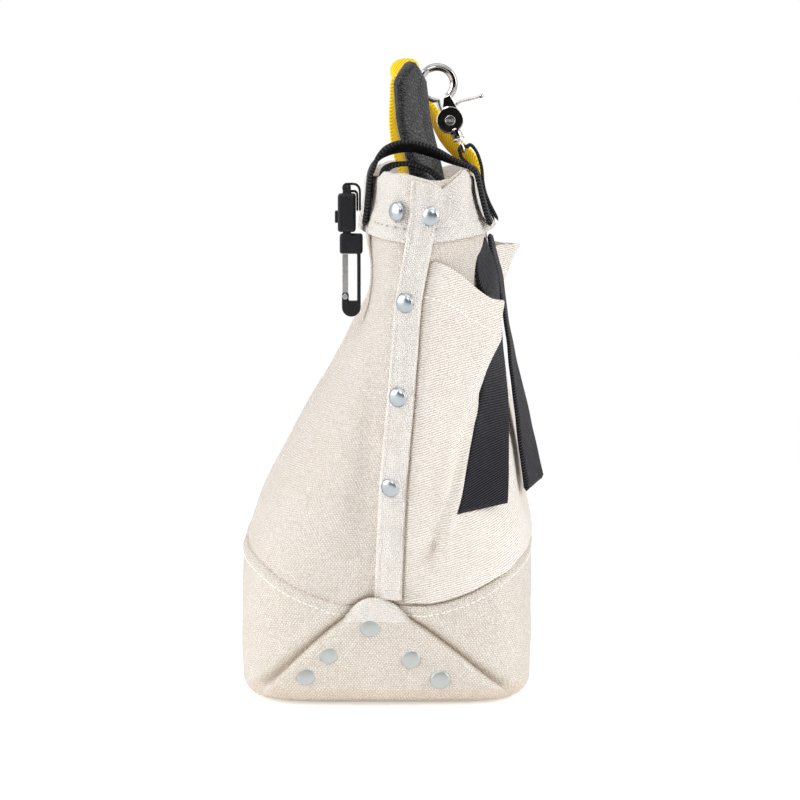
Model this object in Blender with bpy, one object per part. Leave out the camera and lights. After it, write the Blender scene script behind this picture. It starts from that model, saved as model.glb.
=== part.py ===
"""Canvas bolt bag: an open, flat-sided canvas tube on a boxed base, with riveted side seams, a back
pocket, two hanging straps, a closure strap, a leather strap, a folded webbing tether, a swivel
trigger snap on a leash and a quick-release clip.

Metres, +Z up. X runs along the bag's width, -Y is its front and +Y its back, where the pocket is.
The origin is the middle of the underside. Every cloth layer is measured out from one skin, the
outside of the bag's own wall, so the layers follow when the bag changes size.
"""
import functools
import math

import bmesh
import bpy
import numpy as np
from mathutils import Matrix, Vector

for old in list(bpy.data.objects):
    bpy.data.objects.remove(old, do_unlink=True)

# Bag body
BASE_WIDTH = 0.190
MOUTH_WIDTH = 0.280
BASE_DEPTH = 0.148
MOUTH_DEPTH = 0.065
BAG_HEIGHT = 0.2714
MOUTH_LEAN = 0.021
TAPER_START = 0.26676 * BAG_HEIGHT
TAPER_END = 0.87472 * BAG_HEIGHT
TAPER_HASTE = 0.86
BASE_ROUNDING = 0.011
RIM_TUCK = 0.0065
RIM_SHIFT = 0.0035
FRONT_SLACK = 0.0070
FRONT_SLACK_POWER = 2.1
FRONT_SLACK_HEIGHT_SHARES = (0.42, 0.58, 0.67, 0.762, 0.82, 0.878, 1)
FRONT_SLACK_SHARES = (0, 0.22, 0.5, 1, 0.74, 0.2, 0)
CANVAS = 0.0016
LAYER_GAP = 0.0003

# Squareness of the level outline: the power of its superellipse
LENS_POWER = 2.5
BOX_POWER_GAIN = 3.5
BOX_FADE_SHARE = 0.58
MOUTH_POWER_GAIN = 0.9
MOUTH_POWER_SHARES = (0.766, 0.98)

# Shared stations of every cloth layer: shares of a quarter turn and of the height
TURN_SHARES = (0, 0.015, 0.04, 0.08, 0.13, 0.2, 0.28, 0.35, 0.41, 0.47, 0.53, 0.6, 0.7, 0.85, 1)
ROUNDING_SHARES = (0.42, 1)
LEVEL_SHARES = (0.13, 0.215, 0.3, 0.39, 0.48, 0.58, 0.67, 0.762, 0.82, 0.878, 1)
QUADRANT_SAMPLES = 400

# Bottom wrap, its edge low on the ends and high on the faces
WRAP_END_HEIGHT = 0.20081 * BAG_HEIGHT
WRAP_FACE_HEIGHT = 0.28924 * BAG_HEIGHT
WRAP_FLAT_SHARE = 0.25
WRAP_RISE_POWER = 1.6
WRAP_STAND = 0.0006
WRAP_SHARES = (0.34, 0.67, 1)

# Rim cuff
CUFF_DEPTH = 0.033
CUFF_EDGE_RISE = 0.005
CUFF_FLARE_FRONT = 0.002
CUFF_FLARE_BACK = 0.0035
CUFF_ROW_SHARES = (0, 0.25, 0.5, 1)
CUFF_FLARE_SHARES = (1, 0.45, 0.12, 0)

# Seam strips
STRIP_WIDTH = 0.014
STRIP_START = 0.22255 * BAG_HEIGHT
SEAM_HEIGHT_SHARES = (0.0, 0.231, 0.431, 0.6, 0.774, 0.85, 0.939, 1)
SEAM_LEAN_SHARES = (0.0, 0.05, 0.165, 0.357, 0.524, 0.71, 0.895, 0.92)
STRIP_COLUMNS = 4
STRIP_RAMP = 0.006
STRIP_RAMP_DROP = 0.001

# End flaps: the dog-ears of the boxed base, folded up the ends
FLAP_START = 0.0045
FLAP_TOP = 0.21739 * BAG_HEIGHT
FLAP_HALF_WIDTH = 0.0748
FLAP_STAND = 0.0013
FLAP_SKEW = 0.005
FLAP_COLUMNS = 16
FLAP_HEIGHT_SHARES = (0, 0.1, 0.2, 0.4, 0.55, 0.7, 0.8, 0.92, 0.98, 1)
FLAP_WIDTH_SHARES = (0.86, 0.8, 0.71, 0.56, 0.44, 0.31, 0.205, 0.17, 0.1, 0.04)

# Back pocket: its mouth sags and gapes unlike at the two ends
POCKET_TOP_SEAM = 0.84893 * BAG_HEIGHT
POCKET_TOP_MIDDLE = 0.80472 * BAG_HEIGHT
RIGHT_FOLD_TOP = 0.77082 * BAG_HEIGHT
LEFT_FOLD_TOP = 0.83051 * BAG_HEIGHT
RIGHT_FOLD_GAPE = 0.015
LEFT_FOLD_GAPE = 0.026
RIGHT_MIDDLE_GAPE = 0.0008
LEFT_MIDDLE_GAPE = 0.0130
POCKET_GAPE_START = 0.39573 * BAG_HEIGHT
POCKET_GAPE_POWER = 1.3
POCKET_FOLD_RUN = 0.014
POCKET_FOLD_SHARES = (0.965, 0.80)
POCKET_EDGE_GAP = 0.0005
POCKET_FOOT_GAP = 0.0012
POCKET_STAND = 0.0012
POCKET_SIDE_SHARES = (0, 0.2, 0.4, 0.6, 0.8, 1)
POCKET_BACK_SHARES = (0.06, 0.13, 0.22, 0.33, 0.47, 0.63, 0.81, 1)
POCKET_LOW_SHARES = (0, 0.25, 0.5, 0.75)
FOOT_PASSES = 4

# Rivets
RIVET_RADIUS = 0.00525
RIVET_HEIGHT = 0.0023
RIVET_SIDES = 12
RIVET_RADIUS_SHARES = (1, 1, 0.8, 0.46)
RIVET_HEIGHT_SHARES = (0, 0.16, 0.62, 0.9)
SEAM_RIVET_SHIFT = -0.0015
SEAM_RIVET_HEIGHT_SHARES = (0.7738, 0.6006, 0.4311)
CUFF_RIVET_PLACES = ((0.0060, 0.0165, False), (0.0215, 0.0185, True))
FLAP_RIVET_PLACES = ((-0.0083, 0.0437), (-0.0293, 0.0291), (-0.0411, 0.0171), (0.0126, 0.0265),
                     (0.0275, 0.0151))

# Hanging straps, each turned up on itself and stitched at its foot
HANGER_WIDTH = 0.028
HANGER_THICKNESS = 0.002
HANGER_TOP_SHARES = (0.8696, 0.8810)
HANGER_FOOT_SHARES = (0.384, 0.401)
HANGER_STAND = 0.0015
HANGER_SEWN_SHARE = 0.9
HANGER_POCKET_CLEARANCE = 0.006
HANGER_HEIGHT_SHARES = (1, 0.9, 0.845, 0.8, 0.69, 0.56, 0.43, 0.32, 0.29, 0.14, 0)
HANGER_LAYER_SHARES = (1, 1, 1, 1, 1, 1, 1, 1, 2, 2, 2)
HANGER_1_PLACE_SHARES = (0.62, 0.60, 0.585, 0.58, 0.585, 0.62, 0.665, 0.705, 0.715, 0.755, 0.79)
HANGER_2_PLACE_SHARES = (0.33, 0.335, 0.338, 0.34, 0.345, 0.35, 0.36, 0.37, 0.37, 0.38, 0.39)
HANGER_TWISTS = (math.radians(9), math.radians(14))
HANGER_TWIST_START_SHARE = 0.8
REACH_PASSES = 3
SURFACE_SAMPLES = 7

# Closure strap over the mouth, and the strap beneath it
CLOSURE_PLACE_SHARE = 0.714
CLOSURE_WIDTH = 0.024
CLOSURE_THICKNESS = 0.0024
CLOSURE_RISE = 0.0145
CLOSURE_ROLL = math.radians(12)
CLOSURE_END_DROPS = (0.025, 0.018, 0.010, 0.003)
CLOSURE_ARCH_SHARES = (
    (0.0, 0.04), (0.03, 0.32), (0.085, 0.62), (0.16, 0.84), (0.25, 0.96), (0.34, 1.0), (0.44, 0.97),
    (0.54, 0.88), (0.64, 0.74), (0.74, 0.57), (0.84, 0.42), (0.92, 0.31), (0.98, 0.19), (1.0, 0.0),
)
INNER_STRAP_WIDTH = 0.022
INNER_STRAP_THICKNESS = 0.002
INNER_STRAP_DROPS = (0.024, 0.014, 0.005)
INNER_STRAP_RISE = 0.0055
INNER_ARCH_SHARES = ((0.03, 0.3), (0.1, 0.8), (0.21, 1.0), (0.33, 0.98), (0.46, 0.7), (0.6, 0.1),
                     (0.73, -1.1), (0.88, -3.0))
INNER_STRAP_BACK_DROPS = (0.028, 0.038)

# Leather strap
LEATHER_PLACE_SHARE = 0.543
LEATHER_WIDTH = 0.022
LEATHER_THICKNESS = 0.004
LEATHER_TWIST_TOP = math.radians(46)
LEATHER_TWIST_FOOT = math.radians(15)
LEATHER_TWIST_SHARE = 0.85
LEATHER_END_DROPS = (0.062, 0.080)
LEATHER_TIP_WIDTH_SHARES = (0.28, 0.74)
LEATHER_ROUTE_SHARES = (
    (-0.136, 1.2038), (-0.136, 1.1916), (-0.136, 1.1702), (-0.124, 1.1372), (-0.108, 1.0992),
    (-0.073, 1.0619), (-0.031, 1.0239), (0.005, 0.9864), (0.076, 0.9300), (0.229, 0.8560),
)

# Folded yellow webbing
YELLOW_PLACE_SHARE = 0.071
YELLOW_WIDTH = 0.025
YELLOW_THICKNESS = 0.002
YELLOW_ROLL = math.radians(16)
YELLOW_ROLL_START_SHARE = 1.08
YELLOW_ROLL_END_SHARE = 1.2
YELLOW_INNER_DROPS = (0.078, 0.068)
YELLOW_OUTER_DROPS = (0.009, 0.020)
YELLOW_ROUTE_SHARES = (
    (0.290, 0.7899), (0.107, 0.8376), (-0.046, 0.8930), (-0.137, 0.9484), (-0.189, 0.9893),
    (-0.238, 1.0185), (-0.278, 1.0477), (-0.288, 1.0778), (-0.2855, 1.1070), (-0.2855, 1.1440),
    (-0.281, 1.1780), (-0.262, 1.1980), (-0.2155, 1.2106), (-0.157, 1.2137), (-0.105, 1.2067),
    (-0.072, 1.1921), (-0.046, 1.1712), (-0.0046, 1.1449), (0.035, 1.1196), (0.107, 1.0885),
    (0.180, 1.0613), (0.254, 1.0399), (0.345, 1.0214), (0.405, 1.0019),
)

# Trigger snap, in its own frame: rise along the snap, reach away from the bag's front, and side
SNAP_PLACE_SHARE = 0.3286
SNAP_DEPTH_SHARE = 0.1838
SNAP_HEIGHT_SHARE = 1.0976
SNAP_TILT = math.radians(24.5)
CHEEK_RADIUS = 0.007
CHEEK_NEAR = 0.0025
CHEEK_FAR = 0.0007
NECK_NEAR = 0.0022
NECK_FAR = 0.0010
NECK_SHARES = ((-0.35, 0.75), (0.25, 1.75), (0.75, 1.72), (0.9, 0.4))
HOOK_RADIUS = 0.0087
HOOK_WIRE = 0.0021
HOOK_RISE = 0.020
HOOK_REACH = 0.0017
HOOK_START = math.radians(-78)
HOOK_END = math.radians(166)
HOOK_TIP_SHARE = 0.72
HOOK_STEPS = 18
BOSS_RADIUS = 0.003
BOSS_TOP = -0.0052
BOSS_FOOT = -0.0097
STEM_RADIUS = 0.00125
STEM_TOP = -0.0066
STEM_CLEARANCE = 0.0003
BORE_TOP = -0.0062
WASHER_RADIUS = 0.0032
WASHER_TOP = -0.0100
WASHER_THICKNESS = 0.0013
EYE_WIRE = 0.0012
EYE_HALF_WIDTH = 0.0079
EYE_TOP = -0.0118
EYE_FOOT = -0.0170
EYE_CORNER = 0.0018
HUB_RADIUS = 0.0046
HUB_BORE = 0.0019
HUB_NEAR = 0.0003
HUB_FAR = -0.0016
GATE_WIRE = 0.0014
GATE_ARM_SIDE = -0.0006
GATE_ARC_START = math.radians(184)
GATE_ARC_END = math.radians(248)
GATE_STEPS = 5
GATE_NECK_SHARES = ((-0.45, 1.7), (-0.3, 0.6))
GATE_RADIUS_SHARES = (0.9, 1, 1, 1, 1, 0.95, 0.8, 0.7)
LEVER_BALL_ANGLES = (math.radians(-50), 0, math.radians(50))
LEVER_WIRE = 0.0008
LEVER_BALL = 0.0013
LEVER_SHARES = ((0.45, 0.5), (1.1, 1.2), (2.0, 1.45), (3.2, 1.2), (4.35, 1.04))
PIVOT_SHANK = 0.0016
PIVOT_HEAD = 0.0027
PIVOT_HEAD_HEIGHT = 0.0011
PIVOT_NEAR = 0.0028
PIVOT_FAR = -0.0019
SLOT_WIDTH = 0.0006
SLOT_DEPTH = 0.0005
ROUND_SIDES = 20
WIRE_SIDES = 8

# Leash strap that carries the snap
LEASH_WIDTH = 0.012
LEASH_THICKNESS = 0.0016
LEASH_BIGHT_STEPS = 7
LEASH_BIGHT_ANGLES = (math.radians(218), math.radians(52))
LEASH_INNER_SHARES = ((0.07, 0.86), (0.353, 0.68), (0.74, 0.48), (0.94, 0.28))
LEASH_OUTER_SHARES = ((0.28, 1.05), (0.64, 0.83), (0.9, 0.45))
LEASH_DROPS = (0.006, 0.014, 0.0255)

# Quick-release clip on the front
SOCKET_WIDTH = 0.014
SOCKET_DEPTH = 0.009
SOCKET_HEIGHT = 0.0191
SOCKET_FOOT_DROP = 0.0283
SOCKET_STANDOFF = 0.0029
SOCKET_BEVEL = 0.0012
CAVITY_WIDTH = 0.0090
CAVITY_DEPTH = 0.0046
CAVITY_HEIGHT = 0.0100
PLUG_CLEARANCE = 0.0003
PLUG_LENGTH = 0.0066
EAR_THICKNESS = 0.0015
EAR_HEIGHT = 0.0042
BAR_RADIUS = 0.001
BAR_RISE = 0.0030
BUTTON_WIDTH = 0.0080
BUTTON_HEIGHT = 0.0060
BUTTON_DEPTH = 0.0024
BUTTON_PROUD = 0.0015
BUTTON_TRAVEL = 0.0008
BUTTON_CLEARANCE = 0.0003
BUTTON_RISE = 0.0045
BUTTON_BEVEL = 0.0004
CLIP_WEBBING_WIDTH = 0.008
CLIP_WEBBING_THICKNESS = 0.001
CLIP_WEBBING_DROP = 0.018
CLIP_WEBBING_OVER_SHARES = ((0.05, 0.55), (0.2, 0.85), (0.45, 1))
CLIP_WEBBING_UNDER_SHARES = ((0.45, 0), (0.8, 0.1), (0.97, 1))
CLIP_WEBBING_RISE_SHARES = (0.75, 0.4, 0)
CLIP_WEBBING_STEPS = 6
CLIP_THICKNESS = 0.005
CLIP_BLOCK_WIDTH = 0.0116
CLIP_BLOCK_HEIGHT = 0.0101
CLIP_BLOCK_GAP = 0.001
CLIP_BEVEL = 0.0004
CLIP_HOOK_WIDTH = 0.0095
CLIP_CLEARANCE = 0.0004
CLIP_TRAVEL = 0.0070
CLIP_SPINE = 0.0018
CLIP_HOOK_LENGTH = 0.0318
CLIP_FOOT_THICKNESS = 0.0080
CLIP_LUG_WIDTH = 0.0034
CLIP_LUG_HEIGHT = 0.0116
CLIP_FOOT_STEPS = 10
GATE_SLOT = 0.0024
GATE_SLOT_CLEARANCE = 0.0003
GATE_BAR_SHARE = 0.97
GATE_BAR_WIDTH = 0.0030
GATE_EYE_RADIUS = 0.0019
GATE_END_GAP = 0.0004
GATE_PIN_RADIUS = 0.0008
GATE_PIN_CLEARANCE = 0.0003
GATE_PIN_HEAD = 0.0014
GATE_PIN_HEAD_HEIGHT = 0.0006
GATE_PIN_RISE = 0.0102
CUT_OVERRUN = 0.002


def mix(start, end, share):
    """The value a share of the way from start to end."""
    return start + (end - start) * share


def smooth(share):
    """A share from 0 to 1 with an easy start and end."""
    share = min(max(share, 0), 1)
    return share * share * (3 - 2 * share)


def half_width(z):
    """Half of the bag's width at a height, widening quickly above the base."""
    return mix(BASE_WIDTH, MOUTH_WIDTH, 1 - (1 - z / BAG_HEIGHT) ** 2) / 2


def taper(z):
    """Share of the way from the deep base to the flat mouth."""
    return smooth(min(max((z - TAPER_START) / (TAPER_END - TAPER_START), 0), 1) ** TAPER_HASTE)


def tuck(z):
    """Share of the way through the rim, which draws in a little."""
    return max(0, (z - TAPER_END) / (BAG_HEIGHT - TAPER_END))


def half_depth(z):
    """Half of the bag's depth at a height."""
    return mix(BASE_DEPTH, MOUTH_DEPTH, taper(z)) / 2 - RIM_TUCK * tuck(z)


def lean(z):
    """How far the middle of the outline stands behind the middle of the base."""
    return MOUTH_LEAN * taper(z) - RIM_SHIFT * tuck(z)


def front_slack(z):
    """How far the slack front wall hangs in between the base and the mouth."""
    return FRONT_SLACK * float(np.interp(z / BAG_HEIGHT, FRONT_SLACK_HEIGHT_SHARES, FRONT_SLACK_SHARES))


def squareness(z):
    """Power of the outline: boxy at the base, a lens at mid-height, a little fuller at the mouth."""
    boxed = 1 - min(z / (BOX_FADE_SHARE * BAG_HEIGHT), 1)
    low, high = MOUTH_POWER_SHARES
    opened = smooth((z / BAG_HEIGHT - low) / (high - low))
    return LENS_POWER + BOX_POWER_GAIN * boxed ** 2 + MOUTH_POWER_GAIN * opened


def rounding_inset(z):
    """How far the rounding at the foot of the wall draws the outline in."""
    if z >= BASE_ROUNDING:
        return 0
    return BASE_ROUNDING - math.sqrt(BASE_ROUNDING ** 2 - (BASE_ROUNDING - z) ** 2)


def shared_levels():
    """The heights at which every cloth layer has a row of points."""
    levels = [0, CANVAS, CANVAS + LAYER_GAP]
    levels += [share * BASE_ROUNDING for share in ROUNDING_SHARES]
    levels += [share * BAG_HEIGHT for share in LEVEL_SHARES]
    return sorted(levels)


LEVELS = shared_levels()


def seam_y(z):
    """Y of the end seams, which lean back less than the middle of the outline."""
    return MOUTH_LEAN * float(np.interp(z / BAG_HEIGHT, SEAM_HEIGHT_SHARES, SEAM_LEAN_SHARES))


@functools.lru_cache(maxsize=None)
def quadrant(level):
    """A quarter of the outline at a level: points at the shared turn shares and their normals."""
    along = half_width(level) - rounding_inset(level)
    across = half_depth(level) - rounding_inset(level)
    power = 2 / squareness(level)
    angles = np.linspace(0, math.pi / 2, QUADRANT_SAMPLES)
    xs = along * np.clip(np.cos(angles), 0, 1) ** power
    ys = across * np.clip(np.sin(angles), 0, 1) ** power
    lengths = np.concatenate(([0], np.cumsum(np.hypot(np.diff(xs), np.diff(ys)))))
    shares = lengths / lengths[-1]
    px, py = np.interp(TURN_SHARES, shares, xs), np.interp(TURN_SHARES, shares, ys)
    dx = np.diff(px, prepend=px[1], append=-px[-2])
    dy = np.diff(py, prepend=-py[1], append=py[-2])
    lean_angles = np.arctan2(-dx, dy)
    facing = (lean_angles[:-1] + lean_angles[1:]) / 2
    return px, py, np.cos(facing), np.sin(facing)


def outline_place(level, turn, offset):
    """A point of the outline at a level, where turn runs from 0 at +X by 0.25 at +Y to 1."""
    quarters = (turn % 1) * 4
    quarter = min(int(quarters), 3)
    share = quarters - quarter
    if quarter % 2:
        share = 1 - share
    px, py, nx, ny = (float(np.interp(share, TURN_SHARES, values)) for values in quadrant(level))
    x, y = px + nx * offset, py + ny * offset
    shift = mix(lean(level), seam_y(level), (px / half_width(level)) ** 2)
    if quarter in (1, 2):
        x = -x
    if quarter in (2, 3):
        y = -y
        shift += front_slack(level) * (py / half_depth(level)) ** FRONT_SLACK_POWER
    return Vector((x, y + shift, level))


def skin(z, turn, offset):
    """A point on the bag's outside, offset outward, on straight lines between the shared levels."""
    above = next((k for k, level in enumerate(LEVELS) if level >= z), len(LEVELS) - 1)
    above = max(above, 1)
    low, high = LEVELS[above - 1], LEVELS[above]
    share = (z - low) / (high - low)
    return outline_place(low, turn, offset).lerp(outline_place(high, turn, offset), share)


def all_turns():
    """The shared stations once round the bag."""
    quarter = list(TURN_SHARES[:-1])
    back = [1 - share for share in reversed(TURN_SHARES[1:])]
    turns = [share / 4 for share in quarter] + [(1 + share) / 4 for share in back]
    return turns + [turn + 1 / 2 for turn in turns]


TURNS = all_turns()


def face_y(z, x, offset, side):
    """Y of the bag's back (side 1) or front (side -1) at a place along X."""
    turns = [turn for turn in TURNS if turn <= 1 / 2]
    points = [skin(z, side * turn, offset) for turn in turns]
    xs = [point.x for point in reversed(points)]
    ys = [point.y for point in reversed(points)]
    return float(np.interp(x, xs, ys))


def turn_at(z, y, offset):
    """The turn near the +X end where the outline passes a given Y."""
    turns = [-turn for turn in reversed(TURNS) if 0 < turn <= 1 / 4] + [t for t in TURNS if t <= 1 / 4]
    ys = [skin(z, turn, offset).y for turn in turns]
    return float(np.interp(y, ys, turns))


def skin_normal(z, turn, offset):
    """Outward direction of the skin."""
    turn_step = 1 / 400
    height_step = BAG_HEIGHT / 100
    along = skin(z, turn + turn_step, offset) - skin(z, turn - turn_step, offset)
    up = skin(z + height_step, turn, offset) - skin(z - height_step, turn, offset)
    return along.cross(up).normalized()


def rows_between(low, high, extra=()):
    """The shared levels between two heights, with both heights and any extra ones."""
    rows = {low, high, *extra}
    spare = CANVAS / 2
    for level in LEVELS:
        if low + spare < level < high - spare and all(abs(level - row) > spare for row in rows):
            rows.add(level)
    return sorted(rows)


def material(name, colour, roughness, metallic=0.0):
    """A Principled material."""
    made = bpy.data.materials.new(name)
    made.use_nodes = True
    shader = made.node_tree.nodes["Principled BSDF"]
    shader.inputs["Base Color"].default_value = (*colour, 1)
    shader.inputs["Roughness"].default_value = roughness
    shader.inputs["Metallic"].default_value = metallic
    return made


CREAM_CANVAS = material("cream_canvas", (0.80, 0.73, 0.62), 0.95)
PALE_CANVAS = material("pale_canvas", (0.86, 0.82, 0.74), 0.95)
BLACK_WEBBING = material("black_webbing", (0.016, 0.016, 0.018), 0.75)
YELLOW_WEBBING = material("yellow_webbing", (0.93, 0.66, 0.02), 0.7)
GREY_LEATHER = material("dark_leather", (0.045, 0.047, 0.052), 0.55)
RIVET_STEEL = material("rivet_steel", (0.60, 0.63, 0.64), 0.35, 1.0)
BRIGHT_CHROME = material("bright_chrome", (0.62, 0.60, 0.58), 0.12, 1.0)
BLACK_PLASTIC = material("black_plastic", (0.012, 0.012, 0.013), 0.45)
BRIGHT_STEEL = material("bright_steel", (0.70, 0.70, 0.70), 0.2, 1.0)


def make_object(name, mesh_data, finish, origin=None, smooth_angle=None):
    """An object whose mesh is given in world coordinates and whose origin is its joint's place."""
    origin = origin or Vector((0, 0, 0))
    bmesh.ops.recalc_face_normals(mesh_data, faces=mesh_data.faces)
    bmesh.ops.translate(mesh_data, verts=mesh_data.verts, vec=-origin)
    mesh = bpy.data.meshes.new(name)
    mesh_data.to_mesh(mesh)
    mesh_data.free()
    if smooth_angle is not None:
        mesh.shade_smooth()
        mesh.set_sharp_from_angle(angle=smooth_angle)
    mesh.materials.append(finish)
    made = bpy.data.objects.new(name, mesh)
    made.location = origin
    bpy.context.scene.collection.objects.link(made)
    return made


def helper(name, mesh_data):
    """A cutter or a lump to join on, which isn't a piece of its own."""
    made = make_object(name, mesh_data, BRIGHT_STEEL)
    made.hide_render = True
    made.display_type = "WIRE"
    return made


def combine(target, others, operation):
    """Join the helpers to the target, or cut them out of it."""
    for other in others:
        step = target.modifiers.new(other.name, "BOOLEAN")
        step.operation = operation
        step.solver = "EXACT"
        step.object = other


def triangles(mesh_data, first, second, third, fourth):
    """Two triangles, split from the lower front corner to the upper back one on every layer, so that
    neighbouring layers stay parallel."""
    rising = third.co.z + fourth.co.z > first.co.z + second.co.z
    backward = second.co.y + third.co.y > first.co.y + fourth.co.y
    if rising == backward:
        mesh_data.faces.new((first, second, third))
        mesh_data.faces.new((first, third, fourth))
    else:
        mesh_data.faces.new((first, second, fourth))
        mesh_data.faces.new((second, third, fourth))


def rings_mesh(rings, closed=False):
    """A solid through rings of as many points each, capped flat at both ends or closed on itself."""
    mesh_data = bmesh.new()
    loops = [[mesh_data.verts.new(point) for point in ring] for ring in rings]
    count = len(loops[0])
    pairs = list(zip(loops, loops[1:]))
    if closed:
        pairs.append((loops[-1], loops[0]))
    for low, high in pairs:
        for k in range(count):
            after = (k + 1) % count
            triangles(mesh_data, low[k], low[after], high[after], high[k])
    if not closed:
        mesh_data.faces.new(list(reversed(loops[0])))
        mesh_data.faces.new(loops[-1])
    return mesh_data


def sheet_mesh(inner, outer):
    """A panel between two grids of points, each a list of rows."""
    mesh_data = bmesh.new()
    back = [[mesh_data.verts.new(point) for point in row] for row in inner]
    front = [[mesh_data.verts.new(point) for point in row] for row in outer]
    rows, columns = len(back), len(back[0])
    for r in range(rows - 1):
        for c in range(columns - 1):
            triangles(mesh_data, front[r][c], front[r][c + 1], front[r + 1][c + 1], front[r + 1][c])
            triangles(mesh_data, back[r][c], back[r][c + 1], back[r + 1][c + 1], back[r + 1][c])
    edge = [(0, c) for c in range(columns)]
    edge += [(r, columns - 1) for r in range(1, rows)]
    edge += [(rows - 1, c) for c in range(columns - 2, -1, -1)]
    edge += [(r, 0) for r in range(rows - 2, 0, -1)]
    for (r, c), (s, d) in zip(edge, edge[1:] + edge[:1]):
        mesh_data.faces.new((back[r][c], back[s][d], front[s][d], front[r][c]))
    return mesh_data


def mirrored(mesh_data):
    """The same solid at the other end of the bag."""
    mesh_data.transform(Matrix.Scale(-1, 4, Vector((1, 0, 0))))
    return mesh_data


def tangents(places, closed):
    """Direction of travel at each point of a route."""
    count = len(places)
    found = []
    for k in range(count):
        before = places[k - 1] if closed or k else places[0]
        after = places[(k + 1) % count] if closed or k < count - 1 else places[-1]
        found.append((after - before).normalized())
    return found


def strap_mesh(places, sides, width, thickness, width_shares=None, layer_shares=None):
    """A flat strap along a route; sides gives the direction across its width at each point."""
    rings = []
    plain = [1] * len(places)
    for place, side, along, share, layers in zip(places, sides, tangents(places, False),
                                                 width_shares or plain, layer_shares or plain):
        across = (side - along * side.dot(along)).normalized()
        facing = along.cross(across)
        reach = across * (width * share / 2)
        depth = facing * (thickness * layers / 2)
        rings.append([place + reach + depth, place - reach + depth, place - reach - depth,
                      place + reach - depth])
    return rings_mesh(rings)


def curve_through(points, steps):
    """Points of a smooth curve through the given ones."""
    found = []
    for k in range(len(points) - 1):
        before = points[max(k - 1, 0)]
        start, end = points[k], points[k + 1]
        after = points[min(k + 2, len(points) - 1)]
        for step in range(steps):
            t = step / steps
            found.append((start * 2 + (end - before) * t
                          + (before * 2 - start * 5 + end * 4 - after) * t ** 2
                          + (start * 3 - before - end * 3 + after) * t ** 3) / 2)
    return found + [points[-1]]


def wire_mesh(places, radii, sides, closed=False):
    """A round bar along a route in a plane that holds no sharp turns."""
    along = tangents(places, closed)
    guide = along[0].orthogonal().normalized()
    rings = []
    for place, direction, radius in zip(places, along, radii):
        guide = (guide - direction * guide.dot(direction)).normalized()
        other = direction.cross(guide)
        turns = [2 * math.pi * k / sides for k in range(sides)]
        rings.append([place + (guide * math.cos(a) + other * math.sin(a)) * radius for a in turns])
    return rings_mesh(rings, closed)


def turned_mesh(place, axis, profile, sides):
    """A solid turned about an axis; the profile lists radius and height, from foot to top."""
    axis = axis.normalized()
    guide = axis.orthogonal().normalized()
    other = axis.cross(guide)
    mesh_data = bmesh.new()
    loops = []
    for radius, height in profile:
        turns = [2 * math.pi * k / sides for k in range(sides)]
        if radius == 0:
            loops.append([mesh_data.verts.new(place + axis * height)])
        else:
            loops.append([mesh_data.verts.new(place + axis * height
                                              + (guide * math.cos(a) + other * math.sin(a)) * radius)
                          for a in turns])
    for low, high in zip(loops, loops[1:]):
        for k in range(sides):
            after = (k + 1) % sides
            if len(high) == 1:
                mesh_data.faces.new((low[k], low[after], high[0]))
            elif len(low) == 1:
                mesh_data.faces.new((low[0], high[after], high[k]))
            else:
                mesh_data.faces.new((low[k], low[after], high[after], high[k]))
    if len(loops[0]) > 1:
        mesh_data.faces.new(list(reversed(loops[0])))
    if len(loops[-1]) > 1:
        mesh_data.faces.new(loops[-1])
    return mesh_data


def prism_mesh(outline, start, end):
    """An outline of points swept from one shift to another."""
    return rings_mesh([[point + start for point in outline], [point + end for point in outline]])


def box_mesh(low, high, bevel=0):
    """A box between two corners, with its edges rounded off if a bevel is given."""
    mesh_data = bmesh.new()
    bmesh.ops.create_cube(mesh_data, size=1)
    size = high - low
    bmesh.ops.scale(mesh_data, vec=size, verts=mesh_data.verts)
    bmesh.ops.translate(mesh_data, vec=(low + high) / 2, verts=mesh_data.verts)
    if bevel:
        bmesh.ops.bevel(mesh_data, geom=list(mesh_data.edges), offset=bevel, segments=2, profile=0.5,
                        affect="EDGES")
    return mesh_data


def end_share(z, turn):
    """0 at the bag's end, 1 where its faces are deepest."""
    level = min(LEVELS, key=lambda height: abs(height - z))
    quarters = (turn % 1) * 4
    share = quarters % 1 if int(quarters) % 2 == 0 else 1 - quarters % 1
    depths = quadrant(level)[1]
    return float(np.interp(share, TURN_SHARES, depths)) / depths[-1]


def wrap_top(turn):
    """Height of the bottom wrap's edge."""
    share = end_share(WRAP_END_HEIGHT, turn)
    climb = max(0, (share - WRAP_FLAT_SHARE) / (1 - WRAP_FLAT_SHARE)) ** WRAP_RISE_POWER
    return mix(WRAP_END_HEIGHT, WRAP_FACE_HEIGHT, climb)


def ring(z, offset):
    """A level ring of the skin."""
    return [skin(z, turn, offset) for turn in TURNS]


def bag_body():
    """The canvas tube with its flat floor and open mouth."""
    floor = CANVAS + LAYER_GAP
    inner_floor = floor + CANVAS
    outside = [ring(z, 0) for z in rows_between(floor, BAG_HEIGHT)]
    inside = [ring(z, -CANVAS) for z in reversed(rows_between(inner_floor, BAG_HEIGHT))]
    make_object("bag_body", rings_mesh(outside + inside), CREAM_CANVAS)


WRAP_OUT = WRAP_STAND + CANVAS


def bottom_wrap():
    """The second layer round the base, its floor the face that the bag stands on."""
    straight = max(level for level in LEVELS if level < WRAP_END_HEIGHT - CANVAS)

    def wall(rows, offset):
        rings = [ring(z, offset) for z in rows]
        for share in WRAP_SHARES:
            rings.append([skin(mix(straight, wrap_top(turn), share), turn, offset) for turn in TURNS])
        return rings

    outside = wall(rows_between(0, straight), WRAP_OUT)
    inside = wall(rows_between(CANVAS, straight), WRAP_STAND)
    make_object("bottom_wrap", rings_mesh(outside + list(reversed(inside))), CREAM_CANVAS)


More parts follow.
